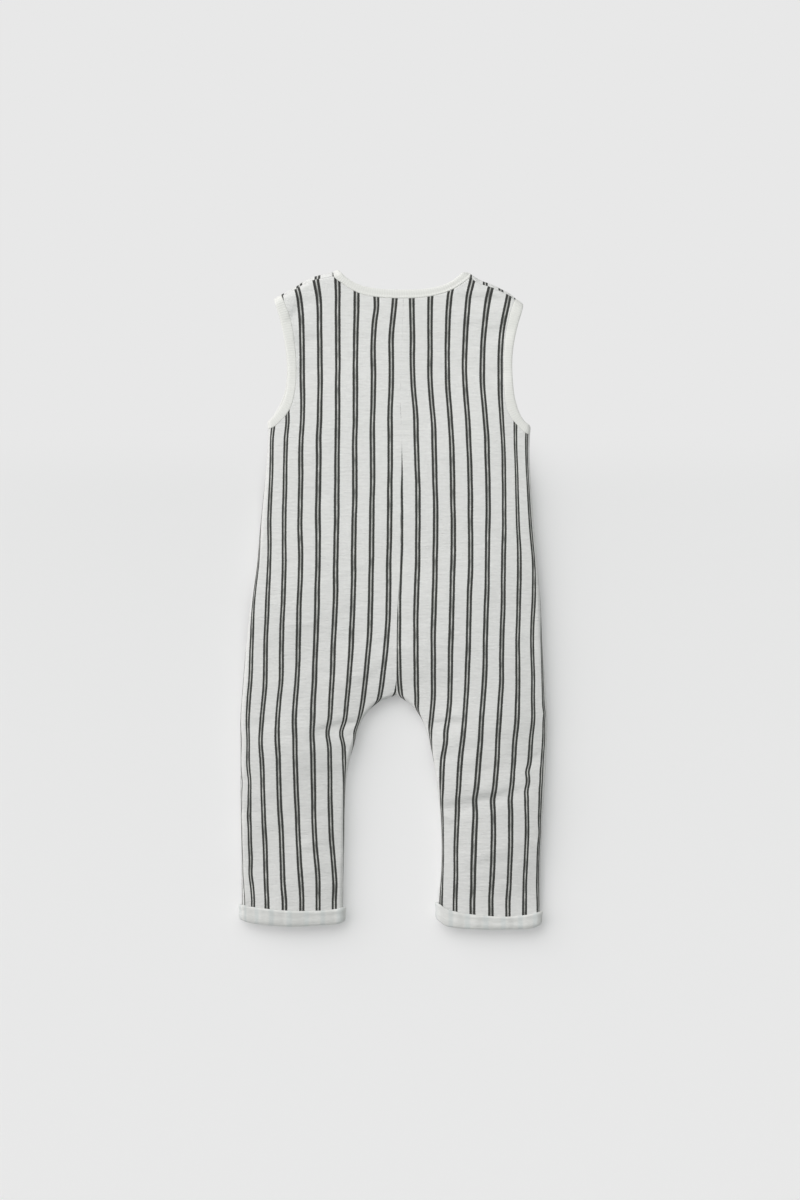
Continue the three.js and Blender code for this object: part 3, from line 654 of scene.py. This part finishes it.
def upper_edge(half, layer, shares):
    """The top of a half: the shoulder's seam on the back or its fold on the front, then the neck."""
    part = np.minimum(shares / SHOULDER_SHARE, 1)
    on_shoulder = shares <= SHOULDER_SHARE
    x, y = shoulder_seam(half, part[on_shoulder], 1.0 if layer == "back" else 0.0)
    ways = NECK_WAYS[layer]
    way = np.interp(shares[~on_shoulder], ways[:, 0], ways[:, 1])
    centre = NECK[layer].marks[NECK_CENTRE[layer]]
    lip = LIP_AT_NECK / NECK["back"].length if layer == "back" else 0.0
    along = lerp(abs(half.neck_start - lip), centre, way)
    neck_x, neck_y = NECK[layer].at(along, np.zeros_like(along))
    return np.concatenate([x, neck_x]), np.concatenate([y, neck_y])


def yoke_grid(half, layer, shares, lower, rows):
    """x and y from the underarm to the upper edge: straight columns between the two, moved as the
    armhole and the centre seam leave a straight line, the armhole's part fading away quickly."""
    upper = upper_edge(half, layer, shares)
    lip = LIP_AT_ARMHOLE / half.armhole["back"].length if layer == "back" else 0.0
    part = np.linspace(0, 1, rows)[1:, None]
    armhole = half.armhole[layer].at(lerp(1.0, lip, part), 0.0)
    straight_y = lerp(lower[1][-1], upper[1][-1], part)
    seam = (through(CENTRE[layer][:, 0], CENTRE[layer][:, 1], straight_y), straight_y)
    grid = []
    for axis in (0, 1):
        straight = lerp(lower[axis][None, :], upper[axis][None, :], part)
        outer = (armhole[axis] - straight[:, :1]) * (1 - shares[None, :]) ** ARMHOLE_REACH
        inner = (seam[axis] - straight[:, -1:]) * shares[None, :]
        grid.append(straight + outer + inner)
    return grid


def grid_faces(ids, flipped):
    """Four corners for each cell of a grid of point numbers, turned the other way if flipped."""
    quads = np.stack([ids[:-1, :-1], ids[:-1, 1:], ids[1:, 1:], ids[1:, :-1]], axis=-1).reshape(-1, 4)
    return quads[:, ::-1] if flipped else quads


def surface_piece(name, points, faces, uv):
    """A mesh object with its points in metres, its four-cornered faces and one UV for each point."""
    mesh = bpy.data.meshes.new(name)
    mesh.vertices.add(len(points))
    mesh.vertices.foreach_set("co", (points * MM).astype(np.float32).ravel())
    mesh.loops.add(faces.size)
    mesh.loops.foreach_set("vertex_index", faces.astype(np.int32).ravel())
    mesh.polygons.add(len(faces))
    mesh.polygons.foreach_set("loop_start", np.arange(0, faces.size, 4, dtype=np.int32))
    mesh.polygons.foreach_set("use_smooth", np.ones(len(faces), dtype=bool))
    mesh.update(calc_edges=True)
    cloth = mesh.uv_layers.new(name="cloth")
    cloth.data.foreach_set("uv", uv[faces.ravel()].astype(np.float32).ravel())
    piece = bpy.data.objects.new(name, mesh)
    bpy.context.scene.collection.objects.link(piece)
    return piece


def ring_piece(name, sections, uv):
    """A closed tube: sections[i, j] is point j of the closed section at station i, and the last
    station joins the first. Faces are turned to point outwards by the sign of the volume."""
    stations, corners = sections.shape[:2]
    ids = np.arange(stations * corners).reshape(stations, corners)
    ids = np.pad(ids, ((0, 1), (0, 1)), mode="wrap")
    faces = grid_faces(ids, False)
    points = sections.reshape(-1, 3)
    a, b, c, d = (points[faces[:, i]] for i in range(4))
    volume = (a * np.cross(b, c)).sum() + (a * np.cross(c, d)).sum()
    if volume < 0:
        faces = faces[:, ::-1]
    return surface_piece(name, points, faces, uv.reshape(-1, 2))


def settings():
    """The sizes and colours that the panel shows."""
    return bpy.context.scene.dungarees


def finish_piece(piece, node, material):
    """Gives a cloth piece its finish, puts it under the root body and hides the model's part that it stands
    for.
    """
    piece.data.materials.append(material)
    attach(piece, "root")
    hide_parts(node)


def lip_over_shoulder(half, shares, fold_ids, first_id):
    """The front's lip, row by row from the fold to the seam on the back: its points, its point
    numbers with those of the fold before them, and its UVs, which run on as if it lay unfolded."""
    part = shares[shares <= SHOULDER_SHARE] / SHOULDER_SHARE
    down = np.linspace(0, 1, LIP_ROWS + 1)[1:]
    x, y = np.moveaxis([shoulder_seam(half, part, left_over) for left_over in down], 1, 0)
    points, _ = on_layer(x, y, "back")
    ids = np.vstack([fold_ids[:len(part)], first_id + np.arange(x.size).reshape(x.shape)])
    count = stripe_count(x, np.full_like(x, LIP_STRIPES_Y), half, "front")
    over = 2 * half.shoulder_y(x) - y
    uv = np.stack([count * settings().stripe_pitch, over * MM], axis=-1)
    return points.reshape(-1, 3), ids, uv.reshape(-1, 2)


def panel_piece(half, layer, material):
    """One half of the back or front, with the lip that carries the front over the shoulder."""
    rounded, plain, row_step, yoke_rows = GRIDS[layer]
    shares = shares_across(rounded, plain)
    body_x, body_y = body_grid(half, layer, shares, row_step)
    yoke_x, yoke_y = yoke_grid(half, layer, shares, (body_x[-1], body_y[-1]), yoke_rows)
    x = np.vstack([body_x, yoke_x])
    y = np.vstack([body_y, yoke_y])
    points, normals = on_layer(x, y, layer)
    count = stripe_count(x, y, half, layer) + wrapped(normals, y, half)
    points = points.reshape(-1, 3)
    uv = np.stack([count * settings().stripe_pitch, y * MM], axis=-1).reshape(-1, 2)
    ids = np.arange(x.size).reshape(x.shape)
    flipped = (half.side > 0) != (layer == "front")
    faces = grid_faces(ids, flipped)
    if layer == "front":
        lip_points, lip_ids, lip_uv = lip_over_shoulder(half, shares, ids[-1], ids.size)
        points = np.vstack([points, lip_points])
        faces = np.vstack([faces, grid_faces(lip_ids, flipped)])
        uv = np.vstack([uv, lip_uv])
    piece = surface_piece(f"{layer}_{half.name}_jersey", points, faces, uv)
    wall = piece.modifiers.new("wall", "SOLIDIFY")
    wall.thickness = settings().jersey_thickness
    wall.offset = -1
    node = f"{layer}_{half.name}"
    finish_piece(piece, node, material)


# Sections of the rib bands: way across from the sewn to the open edge, and distance out of the cloth
NECK_SECTION = np.array([
    (0.00, -1.00), (0.00, -0.35), (0.04, 0.08), (0.11, 0.26), (0.20, 0.20), (0.27, 0.02), (0.34, -0.05),
    (0.45, 0.06), (0.60, 0.22), (0.75, 0.26), (0.86, 0.16), (0.94, -0.10), (0.985, -0.45), (1.0, -0.85),
    (0.985, -1.25), (0.94, -1.60), (0.85, -1.80), (0.60, -1.85), (0.30, -1.85), (0.08, -1.80),
    (0.01, -1.50),
])
ARMHOLE_SECTION = np.array([
    (0.00, -1.00), (0.00, -0.22), (0.03, 0.04), (0.12, 0.14), (0.30, 0.16), (0.50, 0.20), (0.70, 0.16),
    (0.84, 0.06), (0.93, -0.16), (0.98, -0.50), (1.0, -0.90), (0.98, -1.30), (0.93, -1.62), (0.84, -1.80),
    (0.60, -1.85), (0.30, -1.85), (0.08, -1.80), (0.01, -1.50),
])


def rib_sections(halves, section, ways):
    """Points and UVs of a band: its section carried along its back half and back along its front
    half. U is the way along the sewn edge in metres and V the way round the section."""
    sections, uvs = [], []
    across, out = section.T
    around = np.concatenate([[0], np.cumsum(np.hypot(np.diff(across) * BAND_WIDTH, np.diff(out)))])
    reach = 0.0
    for layer, way in zip(LAYERS, ways):
        band = halves[layer]
        along = np.repeat(way[:, None], len(across), axis=1)
        clear = BAND_GAP / band.width(along)
        x, y = band.at(along, lerp(clear, 1, across[None, :]))
        points, normals = on_layer(x, y, layer)
        sections.append(lifted(points, normals, np.broadcast_to(out, x.shape)))
        u = reach + np.abs(way - way[0]) * band.length
        reach = u[-1]
        uvs.append(np.stack(np.broadcast_arrays(u[:, None], around[None, :]), axis=-1) * MM)
    return np.concatenate(sections), np.concatenate(uvs)


def there_and_back(stations):
    """Ways along a band's back part, from 0 to 1, and along its front part, from 1 to 0."""
    return np.linspace(0, 1, stations[0]), np.linspace(1, 0, stations[1])


def armhole_piece(half, material):
    """The rib band round an armhole."""
    sections, uv = rib_sections(half.armhole, ARMHOLE_SECTION, there_and_back(ARMHOLE_STATIONS))
    piece = ring_piece(f"armhole_{half.name}_rib", sections, uv)
    node, rests_on = f"armhole_band_{half.name}", [f"front_{half.name}_jersey"]
    finish_piece(piece, node, material)


def neck_piece(material):
    """The rib band round the neck."""
    sections, uv = rib_sections(NECK, NECK_SECTION, there_and_back(NECK_STATIONS))
    piece = ring_piece("neck_rib", sections, uv)
    finish_piece(piece, "neck_band", material)


# Section of a turned-up hem: part of the way down from its top edge to its bottom edge, rise above
# that place, and distance out of the leg's surface. Its puckers: wave length, start and height
TURNUP_SECTION = np.array([
    (0, -0.2, 0.30), (0, 0.5, 0.45), (0, 1.0, 0.90), (0, 1.15, 1.50), (0, 0.9, 2.05), (0, 0.3, 2.45),
    (0.05, 0, 2.60), (0.13, 0, 2.45), (0.25, 0, 2.10), (0.4, 0, 2.00), (0.6, 0, 2.15),
    (1, 3.9, 2.18), (1, 2.8, 1.95), (1, 1.8, 1.60), (1, 0.95, 1.05), (1, 0.35, 0.35), (1, 0, -0.60),
    (1, 0.5, -1.35), (1, 1.6, -1.60), (1, 1.75, -0.80), (1, 1.75, 0.20), (0.6, 0, 0.30), (0.3, 0, 0.30),
])
PUCKERS = np.array([(23.0, 0.3, 0.22), (14.5, 2.0, 0.16), (8.7, 4.4, 0.08)])


def turnup_piece(half, material):
    """A turned-up hem: its section carried round the end of the leg, over the back and under the
    front. U is the stripe count of the leg's cloth times the pitch, as the stripes show through."""
    down, rise, out = TURNUP_SECTION.T
    downwards = np.diff(down) * HEM_DEPTH + np.diff(rise)
    around = np.concatenate([[0], np.cumsum(np.hypot(downwards, np.diff(out)))])
    sections, uvs = [], []
    shares = shares_across(*HEM_GRID)
    for layer, way in (("back", shares), ("front", shares[::-1])):
        share = np.repeat(way[:, None], len(down), axis=1)
        y = lerp(half.hem(share, 0), half.hem(share, 1), down[None, :]) + rise[None, :]
        x = half.across(layer, y, share)
        points, normals = on_layer(x, y, layer)
        pucker = sum(size * np.sin(2 * np.pi * x / wave + start) for wave, start, size in PUCKERS)
        sections.append(lifted(points, normals, out + pucker * (out > 1)))
        count = stripe_count(x, np.full_like(y, HEM_STRIPES_Y), half, layer)
        v = np.broadcast_to(around[None, :] * MM, x.shape)
        uvs.append(np.stack([count * settings().stripe_pitch, v], axis=-1))
    piece = ring_piece(f"turnup_{half.name}_cloth", np.concatenate(sections), np.concatenate(uvs))
    finish_piece(piece, f"turnup_{half.name}", material)


class Number:
    """A shader socket that holds a number, so that sums on it add their Math nodes."""

    def __init__(self, shader, socket):
        self.shader = shader
        self.socket = socket

    def math(self, operation, *others, clamp=False):
        """A Math node on this number and the others."""
        inputs = dict(enumerate((self, *others)))
        return self.shader.add("ShaderNodeMath", {"operation": operation, "use_clamp": clamp}, inputs)

    def __add__(self, other):
        return self.math("ADD", other)

    def __sub__(self, other):
        return self.math("SUBTRACT", other)

    def __mul__(self, other):
        return self.math("MULTIPLY", other)

    def __truediv__(self, other):
        return self.math("DIVIDE", other)

    def __radd__(self, other):
        return self.math("ADD", other)

    def __rmul__(self, other):
        return self.math("MULTIPLY", other)

    def __rsub__(self, other):
        return self.shader.add("ShaderNodeMath", {"operation": "SUBTRACT"}, {0: other, 1: self})

    def __rtruediv__(self, other):
        return self.shader.add("ShaderNodeMath", {"operation": "DIVIDE"}, {0: other, 1: self})

    def within(self):
        """The number kept between 0 and 1."""
        return self.math("ADD", 0.0, clamp=True)

    def contrast(self, gain, mean=0.5):
        """The number's way from a half times the gain, added to the mean."""
        return self * gain + (mean - gain / 2)


class Shader:
    """The node tree of one material, and its one Principled shader."""

    def __init__(self, name, roughness, sheen):
        self.material = bpy.data.materials.new(name)
        self.material.use_nodes = True
        self.tree = self.material.node_tree
        self.tree.nodes.clear()
        self.surface = self.tree.nodes.new("ShaderNodeBsdfPrincipled")
        self.surface.inputs["Roughness"].default_value = roughness
        self.surface.inputs["Sheen Weight"].default_value = sheen
        self.surface.inputs["Sheen Roughness"].default_value = 0.6
        self.surface.inputs["Specular IOR Level"].default_value = 0.2
        output = self.tree.nodes.new("ShaderNodeOutputMaterial")
        self.tree.links.new(self.surface.outputs[0], output.inputs[0])

    def feed(self, socket, value):
        """Links a socket to a number's or a node's socket, or sets it."""
        if isinstance(value, Number):
            self.tree.links.new(value.socket, socket)
        elif isinstance(value, bpy.types.NodeSocket):
            self.tree.links.new(value, socket)
        else:
            socket.default_value = value

    def add(self, kind, choices, inputs, output=0):
        """A node with its choices set first, then its inputs; gives one of its outputs."""
        node = self.tree.nodes.new(kind)
        for key, value in choices.items():
            setattr(node, key, value)
        for key, value in inputs.items():
            self.feed(node.inputs[key], value)
        found = node.outputs[output]
        return Number(self, found) if found.type == "VALUE" else found

    def coordinates(self, kind):
        """Texture coordinates, of the kind UV or Object."""
        return self.add("ShaderNodeTexCoord", {}, {}, kind)

    def part(self, vector, axis=0):
        """One part of a vector."""
        return self.add("ShaderNodeSeparateXYZ", {}, {0: vector}, axis)

    def noise(self, vector, across, along, detail=2.0, roughness=0.5):
        """Noise from 0 to 1 with a mean of a half, and so many cells to a metre across and along."""
        scaling = {"Vector": vector, "Scale": (across, along, 1.0)}
        scaled = self.add("ShaderNodeMapping", {"vector_type": "POINT"}, scaling)
        inputs = {"Vector": scaled, "Scale": 1.0, "Detail": detail, "Roughness": roughness}
        return self.add("ShaderNodeTexNoise", {}, inputs)

    def mix(self, factor, first, second):
        """A colour between two colours, which are the node's inputs 6 and 7 and its output 2."""
        inputs = {"Factor": factor, 6: first, 7: second}
        return self.add("ShaderNodeMix", {"data_type": "RGBA"}, inputs, 2)

    def grey(self, level):
        """A grey of this level."""
        return self.add("ShaderNodeCombineColor", {}, {0: level, 1: level, 2: level})

    def bump(self, height, strength, distance):
        """Gives the surface relief from a height."""
        inputs = {"Height": height, "Strength": strength, "Distance": distance}
        self.feed(self.surface.inputs["Normal"], self.add("ShaderNodeBump", {}, inputs))


def colour(value, shade=1.0):
    """A colour property times a shade, with its alpha."""
    return (*(part * shade for part in value), 1.0)


# Shades of a cloth's own colour: thin yarn of the jersey and of its reverse, and worn yarn in the dark
# lines.
# RIB_GROOVE_SHADE is painted shade: the rib's colour darkened in its grooves
THIN_YARN = 0.85
THIN_REVERSE = 0.87
WORN_DARK = 1.9
RIB_GROOVE_SHADE = 0.935

# Edges of the dark lines in millimetres, by how much stitches jag them and how soft they are. The
# yarn between a stripe's lines sets in by GAP_EDGE a millimetre
STITCH_JAGS = 0.55
LINE_SOFTNESS = 0.16
GAP_EDGE = 3.0

# Stripes on the reverse: half their width and how much it wanders, in millimetres, how much they
# fade a millimetre, and how strong they are
SHOWN_REACH = 4.2
SHOWN_WANDER = 1.6
SHOWN_EDGE = 0.45
SHOWN_STRENGTH = 0.45

# The jersey's wales: their pitch in millimetres, and their height as a share of the slubs'
WALE_PITCH = 1.2
WALE_HEIGHT = 0.08

# Fine fuzz of the rib's yarn, as shares of its tone and of its height
FUZZ_TONE = 0.3
FUZZ_HEIGHT = 0.3


def slubs(shader, uv):
    """The knit's uneven yarn: long across the garment and thin along it, coarse and fine mixed."""
    coarse = shader.noise(uv, across=90, along=560, detail=3.0, roughness=0.6)
    fine = shader.noise(uv, across=300, along=1500, roughness=0.6)
    return (coarse * 0.65 + fine * 0.35).contrast(2.6)


def from_stripe(u):
    """Millimetres from the middle of the nearest stripe: |fract(u / pitch + 1/2) - 1/2| pitches."""
    pitch = settings().stripe_pitch
    phase = (u * (1 / pitch) + 0.5).math("FRACT") - 0.5
    return phase.math("ABSOLUTE") * (pitch / MM)


def stripe_masks(shader, uv):
    """The two dark lines of a stripe and the yarn between them, by the way from its middle."""
    look = settings()
    away = from_stripe(shader.part(uv))
    stitches = shader.noise(uv, across=600, along=1100) - 0.5
    middle = look.line_spacing / (2 * MM)
    from_line = (away - middle).math("ABSOLUTE") + stitches * STITCH_JAGS
    line = (look.line_width / (2 * MM) + LINE_SOFTNESS - from_line) * (0.5 / LINE_SOFTNESS)
    return line.within(), ((middle - away) * GAP_EDGE).within()


def jersey_material():
    """Striped jersey: ground, dark lines, and yarn of a middling grey between the lines."""
    look = settings()
    shader = Shader("striped_jersey", roughness=0.95, sheen=0.1)
    uv = shader.coordinates("UV")
    slub = slubs(shader, uv)
    line, gap = stripe_masks(shader, uv)
    ground = shader.mix(slub.within(), colour(look.ground, THIN_YARN), colour(look.ground))
    streak = shader.noise(uv, across=260, along=80).contrast(2.4, mean=0.6).within()
    between = shader.mix(streak, colour(look.gap_dark), colour(look.gap_light))
    fleck = shader.noise(uv, across=900, along=1500).contrast(2.6, mean=0.15).within()
    dark = shader.mix(fleck, colour(look.stripe), colour(look.stripe, WORN_DARK))
    base = shader.mix(line, shader.mix(gap, ground, between), dark)
    shader.feed(shader.surface.inputs["Base Color"], base)
    wales = (shader.part(uv) * (2 * math.pi / (WALE_PITCH * MM))).math("SINE")
    shader.bump(slub + wales * WALE_HEIGHT, strength=0.8, distance=0.0005)
    return shader.material


def rib_material():
    """Fine rib: ridges across the band, with uneven yarn, and painted shade that darkens its colour in the
    grooves.
    """
    look = settings()
    shader = Shader("rib_knit", roughness=0.9, sheen=0.12)
    uv = shader.coordinates("UV")
    ridge = (shader.part(uv) * (2 * math.pi / look.rib_pitch)).math("COSINE") * 0.5 + 0.5
    fuzz = shader.noise(uv, across=1500, along=1500)
    # Painted shade: the colour goes darker in the grooves between the ridges, mixed with the fuzz's random
    # tone
    tone = (ridge * (1 - FUZZ_TONE) + fuzz * FUZZ_TONE).within()
    base = shader.mix(tone, colour(look.rib, RIB_GROOVE_SHADE), colour(look.rib))
    shader.feed(shader.surface.inputs["Base Color"], base)
    shader.bump(ridge + fuzz * FUZZ_HEIGHT, strength=0.3, distance=0.0004)
    return shader.material


def reverse_material():
    """The jersey's reverse, with its stripes showing through faintly. Both lines blur into one."""
    look = settings()
    shader = Shader("jersey_reverse", roughness=0.96, sheen=0.1)
    uv = shader.coordinates("UV")
    slub = slubs(shader, uv)
    away = from_stripe(shader.part(uv) + HEM_STRIPE_SHIFT * MM)
    blur = shader.noise(uv, across=250, along=250) * SHOWN_WANDER
    shown = ((SHOWN_REACH - away - blur) * SHOWN_EDGE).within()
    ground = shader.mix(slub.within(), colour(look.reverse, THIN_REVERSE), colour(look.reverse))
    base = shader.mix(shown * SHOWN_STRENGTH, ground, colour(look.show_through))
    shader.feed(shader.surface.inputs["Base Color"], base)
    shader.bump(slub, strength=0.5, distance=0.0005)
    return shader.material


def floor_material():
    """Plain pale floor that looks evenly lit. Its paint darkens by (1 / d)^3 where the top light is near,
    and towards the neck it glows instead of reflecting: painted light that hides the garment's shadow there."""
    look = settings()
    shader = Shader("floor", roughness=0.9, sheen=0.0)
    shader.surface.inputs["Specular IOR Level"].default_value = 0.0
    place = shader.coordinates("Object")
    x, y = shader.part(place, 0), shader.part(place, 1)
    down = y - TOP_LIGHT[1]
    squared = x * x + down * down + TOP_LIGHT[2] ** 2
    there = math.hypot(TOP_LIGHT[1] - CHEST_Y, TOP_LIGHT[2])
    near = (squared * (1 / there**2)).math("POWER", -1.5)
    light = near * look.top_share + (1 - look.top_share)
    # Painted light: towards the neck the floor glows, which keeps the garment's shadow off it
    steps = {"Value": y, "From Min": GLOW_FROM, "From Max": GLOW_FULL, "To Min": GLOW_LEAST}
    glow = shader.add("ShaderNodeMapRange", {"interpolation_type": "SMOOTHSTEP"}, steps)
    paint = (1 - glow) * (look.floor_level / (look.light_level * FLOOR_GIVES_BACK)) / light
    shader.feed(shader.surface.inputs["Base Color"], shader.grey(paint))
    shader.feed(shader.surface.inputs["Emission Color"], shader.grey(glow * look.floor_level))
    shader.surface.inputs["Emission Strength"].default_value = 1.0
    return shader.material


def colour_property(label, about, default):
    """A colour that the panel shows, in linear light."""
    return bpy.props.FloatVectorProperty(
        name=label, description=about, default=default, subtype="COLOR", size=3, min=0.0, max=1.0)


def size_property(label, about, default):
    """A length that the panel shows, in metres."""
    return bpy.props.FloatProperty(
        name=label, description=about, default=default, unit="LENGTH", min=0.0, precision=5)


def place_light(light, place):
    """Puts a light at a place and aims it at the middle of the garment."""
    lamp = bpy.data.objects.new(light.name, light)
    lamp.location = place
    lamp.rotation_mode = "QUATERNION"
    lamp.rotation_quaternion = Vector(place).to_track_quat("Z", "Y")
    bpy.context.scene.collection.objects.link(lamp)


class DungareesSettings(bpy.types.PropertyGroup):
    """Sizes and colours of the cloth and the light on it."""

    jersey_thickness: size_property("Jersey thickness", "Thickness of the striped cloth", 0.0011)
    stripe_pitch: size_property("Stripe pitch", "From the middle of one double stripe to the next", 0.0155)
    line_spacing: size_property("Line spacing", "Between the middles of a stripe's two lines", 0.0030)
    line_width: size_property("Line width", "Width of each dark line", 0.0020)
    rib_pitch: size_property("Rib pitch", "From ridge to ridge of the rib bands", 0.0022)
    ground: colour_property("Ground", "The jersey between its stripes", (0.801, 0.803, 0.788))
    stripe: colour_property("Stripe", "The jersey's dark lines", (0.036, 0.037, 0.034))
    gap_dark: colour_property("Dark gap", "Darkest yarn between a stripe's lines", (0.17, 0.175, 0.165))
    gap_light: colour_property("Light gap", "Palest yarn between a stripe's lines", (0.66, 0.665, 0.64))
    rib: colour_property("Rib", "The neck and armhole bands", (0.785, 0.787, 0.755))
    reverse: colour_property("Reverse", "The back of the jersey on the hems", (0.800, 0.804, 0.782))
    show_through: colour_property("Show-through", "Stripes seen from behind", (0.56, 0.61, 0.61))
    floor_level: bpy.props.FloatProperty(
        name="Floor", description="How light the floor looks, 1 being white",
        default=0.807, min=0.0, max=1.0)
    light_level: bpy.props.FloatProperty(
        name="Light", description="Light on the chest, at which white looks white", default=1.06, min=0.0)
    side_share: bpy.props.FloatProperty(
        name="Side light", description="Share of the broad light from the upper left",
        default=0.34, min=0.0, max=1.0, subtype="FACTOR")
    top_share: bpy.props.FloatProperty(
        name="Top light", description="Share of the near light above the neck",
        default=0.34, min=0.0, max=1.0, subtype="FACTOR")


class DUNGAREES_OT_stage(bpy.types.Operator):
    """Floor, soft lights and a camera straight above"""

    bl_idname = "dungarees.stage"
    bl_label = "Stage"

    def execute(self, context):
        """Makes them. A sun of energy E lights level cloth by E / pi times the sine of its height, and
        a lamp of energy E at a distance d by E / (pi d)^2 times the cosines at cloth and lamp."""
        look = settings()
        corners = np.array([(-1, -1, 0), (1, -1, 0), (1, 1, 0), (-1, 1, 0)]) * FLOOR_SIZE / (2 * MM)
        floor = surface_piece("floor", corners, np.array([[0, 1, 2, 3]]), corners[:, :2] * MM)
        floor.data.materials.append(floor_material())

        side = bpy.data.lights.new("side", "SUN")
        side.color = SIDE_TINT
        side.angle = math.radians(SIDE_SPREAD)
        height = math.radians(SIDE_HEIGHT)
        way = math.radians(SIDE_WAY)
        towards = (math.cos(height) * math.cos(way), math.cos(height) * math.sin(way), math.sin(height))
        side.energy = look.light_level * look.side_share * math.pi / towards[2]
        place_light(side, towards)

        top = bpy.data.lights.new("top", "AREA")
        top.shape = "DISK"
        top.color = TOP_TINT
        top.size = TOP_SIZE
        off = Vector(TOP_LIGHT) - Vector((0, CHEST_Y, 0))
        facing = off.normalized() @ Vector(TOP_LIGHT).normalized()
        slant = off.normalized().z * facing
        top.energy = look.light_level * look.top_share * math.pi**2 * off.length_squared / slant
        place_light(top, TOP_LIGHT)

        world = bpy.data.worlds.new("fill")
        world.use_nodes = True
        background = world.node_tree.nodes["Background"]
        background.inputs[0].default_value = colour(FILL_TINT)
        background.inputs[1].default_value = look.light_level * (1 - look.side_share - look.top_share)
        context.scene.world = world

        width, height = PICTURE
        middle = (width / 2 - ORIGIN_PIXEL[0], ORIGIN_PIXEL[1] - height / 2)
        distance = height * PIXEL * LENS / SENSOR
        camera = bpy.data.objects.new("camera", bpy.data.cameras.new("camera"))
        camera.data.lens = LENS
        camera.data.sensor_width = SENSOR
        camera.location = (middle[0] * PIXEL * MM, middle[1] * PIXEL * MM, (distance + SCALE_HEIGHT) * MM)
        camera.data.clip_end = 20
        context.scene.collection.objects.link(camera)
        context.scene.camera = camera
        context.scene.view_settings.view_transform = "Standard"
        return {"FINISHED"}


class DUNGAREES_OT_panels(bpy.types.Operator):
    """Striped jersey of the back and the front"""

    bl_idname = "dungarees.panels"
    bl_label = "Back and front"

    def execute(self, context):
        """Makes the four halves."""
        material = jersey_material()
        for half in HALVES:
            for layer in LAYERS[::-1]:
                panel_piece(half, layer, material)
        return {"FINISHED"}


class DUNGAREES_OT_bands(bpy.types.Operator):
    """Rib bands round the neck and the armholes"""

    bl_idname = "dungarees.bands"
    bl_label = "Rib bands"

    def execute(self, context):
        """Makes the three bands."""
        material = rib_material()
        neck_piece(material)
        for half in HALVES:
            armhole_piece(half, material)
        return {"FINISHED"}


class DUNGAREES_OT_turnups(bpy.types.Operator):
    """Turned-up hems of the legs"""

    bl_idname = "dungarees.turnups"
    bl_label = "Turned-up hems"

    def execute(self, context):
        """Makes both hems."""
        material = reverse_material()
        for half in HALVES:
            turnup_piece(half, material)
        return {"FINISHED"}


class DUNGAREES_PT_panel(bpy.types.Panel):
    """Lists the steps and the settings"""

    bl_idname = "DUNGAREES_PT_panel"
    bl_label = "Dungarees"
    bl_space_type = "VIEW_3D"
    bl_region_type = "UI"
    bl_category = "Dungarees"

    def draw(self, context):
        """Buttons in the order of use, then the settings."""
        for step in STEPS:
            self.layout.operator(step.bl_idname)
        look = context.scene.dungarees
        for name in DungareesSettings.__annotations__:
            self.layout.prop(look, name)


STEPS = (DUNGAREES_OT_stage, DUNGAREES_OT_panels, DUNGAREES_OT_bands, DUNGAREES_OT_turnups)
CLASSES = (DungareesSettings, *STEPS, DUNGAREES_PT_panel)


def register():
    """Makes the classes known to Blender."""
    for one in CLASSES:
        bpy.utils.register_class(one)
    bpy.types.Scene.dungarees = bpy.props.PointerProperty(type=DungareesSettings)


def unregister():
    """Takes them out again."""
    del bpy.types.Scene.dungarees
    for one in reversed(CLASSES):
        bpy.utils.unregister_class(one)


def main():
    """Runs the steps in order."""
    register()
    bpy.ops.dungarees.stage()
    bpy.ops.dungarees.panels()
    bpy.ops.dungarees.bands()
    bpy.ops.dungarees.turnups()


if __name__ == "__main__":
    main()
